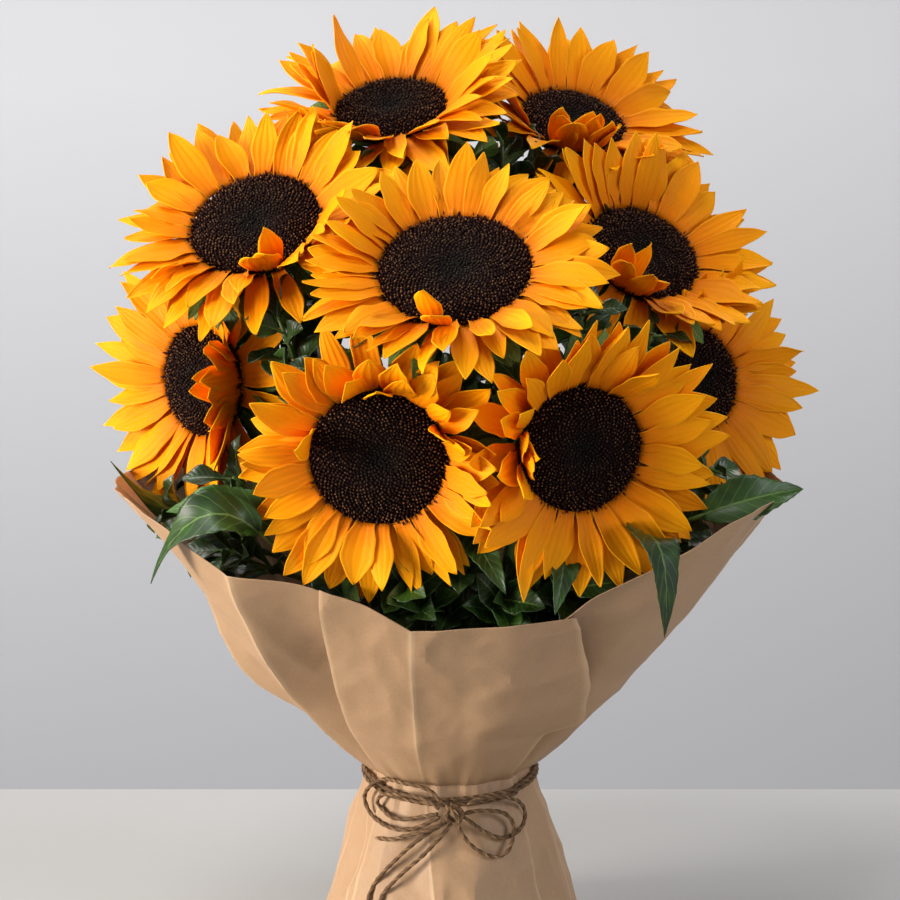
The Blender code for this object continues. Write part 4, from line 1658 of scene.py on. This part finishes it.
@dataclass(frozen=True)
class Studio:
    """The camera, lamps, table and backdrop round the bunch.

    Attributes:
        target: what the camera looks at.
        distance: how far away it is.
        elevation: how far above the horizon it is, degrees.
        lens: its focal length, mm.
        sensor: its sensor's width, mm.
        table_edge: how far behind the bunch the table ends.
        air: the colour of the light from all round.
        air_strength: its strength.
        lamps: the lamps.
    """

    target: tuple[float, float, float] = (0.0, 0.0, 0.2615)
    distance: float = 1.6
    elevation: float = 12.0
    lens: float = 128.0
    sensor: float = 36.0
    table_edge: float = 0.262
    air: str = "#e6e8ee"
    air_strength: float = 0.28
    lamps: tuple[Softbox, ...] = (
        Softbox("key", (-2.95, -1.5, 0.78), (0.0, 0.0, 0.26), 1.6, 134.0, "#fffaf2"),
        Softbox("fill", (2.1, -1.3, 1.1), (0.3, 0.0, 0.2), 1.2, 24.0, "#f2f6ff"),
        Softbox("rim", (0.9, 1.6, 1.5), (0.0, 0.0, 0.3), 0.9, 14.0),
        Softbox("top", (-0.6, -0.5, 2.1), (0.0, 0.0, 0.3), 0.9, 20.0),
        Softbox("low", (-1.7, -0.5, 0.17), (-0.08, 0.0, 0.2), 0.3, 15.0, "#fff4e6"),
        Softbox("wash", (-1.3, 1.0, 2.3), (-0.2, 3.4, 0.0), 1.4, 61.0),
    )

    def set_camera(self) -> None:
        """Makes the scene's camera."""
        data = bpy.data.cameras.new("camera")
        data.lens = self.lens
        data.sensor_width = self.sensor
        camera = put_in_scene("camera", data)
        rise = math.radians(self.elevation)
        back = Vector((0, -math.cos(rise), math.sin(rise)))
        camera.location = Vector(self.target) + back * self.distance
        camera.rotation_euler = (math.pi / 2 - rise, 0, 0)
        bpy.context.scene.camera = camera

    def light(self) -> None:
        """Hangs the lamps and gives the room its even grey."""
        for lamp in self.lamps:
            lamp.hang()
        world = bpy.data.worlds.new("studio_air")
        world.use_nodes = True
        air = world.node_tree.nodes["Background"]
        air.inputs["Color"].default_value = linear(self.air)
        air.inputs["Strength"].default_value = self.air_strength
        bpy.context.scene.world = world
        bpy.context.scene.view_settings.view_transform = "Standard"

    def set_stage(self, table: bpy.types.Material, backdrop: bpy.types.Material) -> None:
        """Builds the table top and the curved backdrop behind it."""
        edge, round_off, thick = self.table_edge, 0.004, 0.04
        near, half_table, half_wall = -3.0, 2.5, 6.0
        profile = [(near, 0.0), (edge - round_off, 0.0), (edge, -round_off)]
        profile += [(edge, -thick), (near, -thick)]
        shape = Shape()
        grid = np.array([[(x, y, z) for y, z in profile] for x in (-half_table, half_table)])
        shape.add_grid(grid, {}, tube=True)
        top = shape.make("table_top", table, sharp=30)
        bend, start, floor = 1.2, 2.4, -BACKDROP_DROP
        curve = [(-4.0, floor), (start, floor)]
        for k in range(1, 25):
            turn = 0.5 * math.pi * k / 24
            rise = floor + bend - bend * math.cos(turn)
            curve.append((start + bend * math.sin(turn), rise))
        curve.append((start + bend, 5.0))
        shape = Shape()
        sides = (-half_wall, half_wall)
        shape.add_grid(np.array([[(x, y, z) for x in sides] for y, z in curve]), {})
        shape.make("backdrop", backdrop)


# ---------------------------------------------------------------- assembly


BUNCH = (
    Flower(1, ((262, 30),), size=1.24, rear_lift=26),
    Flower(2, ((252, 64),), size=1.15, rear_lift=20, slack=4 * MM),
    Flower(3, ((300, 32),), size=1.02, rear_lift=6),
    Flower(4, ((262, 12),), size=1.0, rear_lift=4),
    Flower(5, ((228, 46),), size=1.12, rear_lift=12),
    Flower(6, ((0, 58),), size=1.17, slack=15 * MM),
    Flower(7, size=1.17, slack=10 * MM),
    Flower(8, ((88, 50), (20, 34), (165, 16)), size=0.97),
    Flower(9, ((178, 42),), size=1.10, rear_lift=30),
    Flower(10, ((120, 30),)),
    Flower(11, ((40, 36),)),
    Flower(12, ((250, 30),)),
)


def main() -> None:
    """Builds the studio, the twine, the paper, the flowers and the leaves, in that order."""
    logging.basicConfig(level=logging.INFO, format="%(name)s: %(message)s")
    studio = Studio()
    studio.set_camera()
    jute = JuteTwine().build()
    wrap = Wrap()
    Tie(wrap).build(jute)
    finishes = {
        "ray_petal": RayPetal().build(),
        "disc_floret": DiscFloret().build(),
        "bract": Greenery("bract", "#2f4a12", "#5f7d2c", "#86994e", 0.6).build(),
        "stem": Greenery("stem", "#33481a", "#5f7b34", "#5c7636", 0.65, veins=0).build(),
        "broad_leaf": Greenery("broad_leaf", "#172f08", "#345816", "#6d8a42", 0.46, 0.1).build(),
        "dark_leaf": Greenery("dark_leaf", "#16290a", "#35501d", "#5b7438", 0.38, 0.25).build(),
    }
    wrap.build(KraftPaper().build())
    heads = [flower.head for flower in BUNCH]
    for flower in BUNCH:
        flower.build(heads, finishes)
    grow_leaves(finishes)
    studio.light()
    table = StudioPaper("table_paint", "#a9a8a6", "#a9a8a6")
    studio.set_stage(table.build(), StudioPaper().build())


if __name__ == "__main__":
    main()
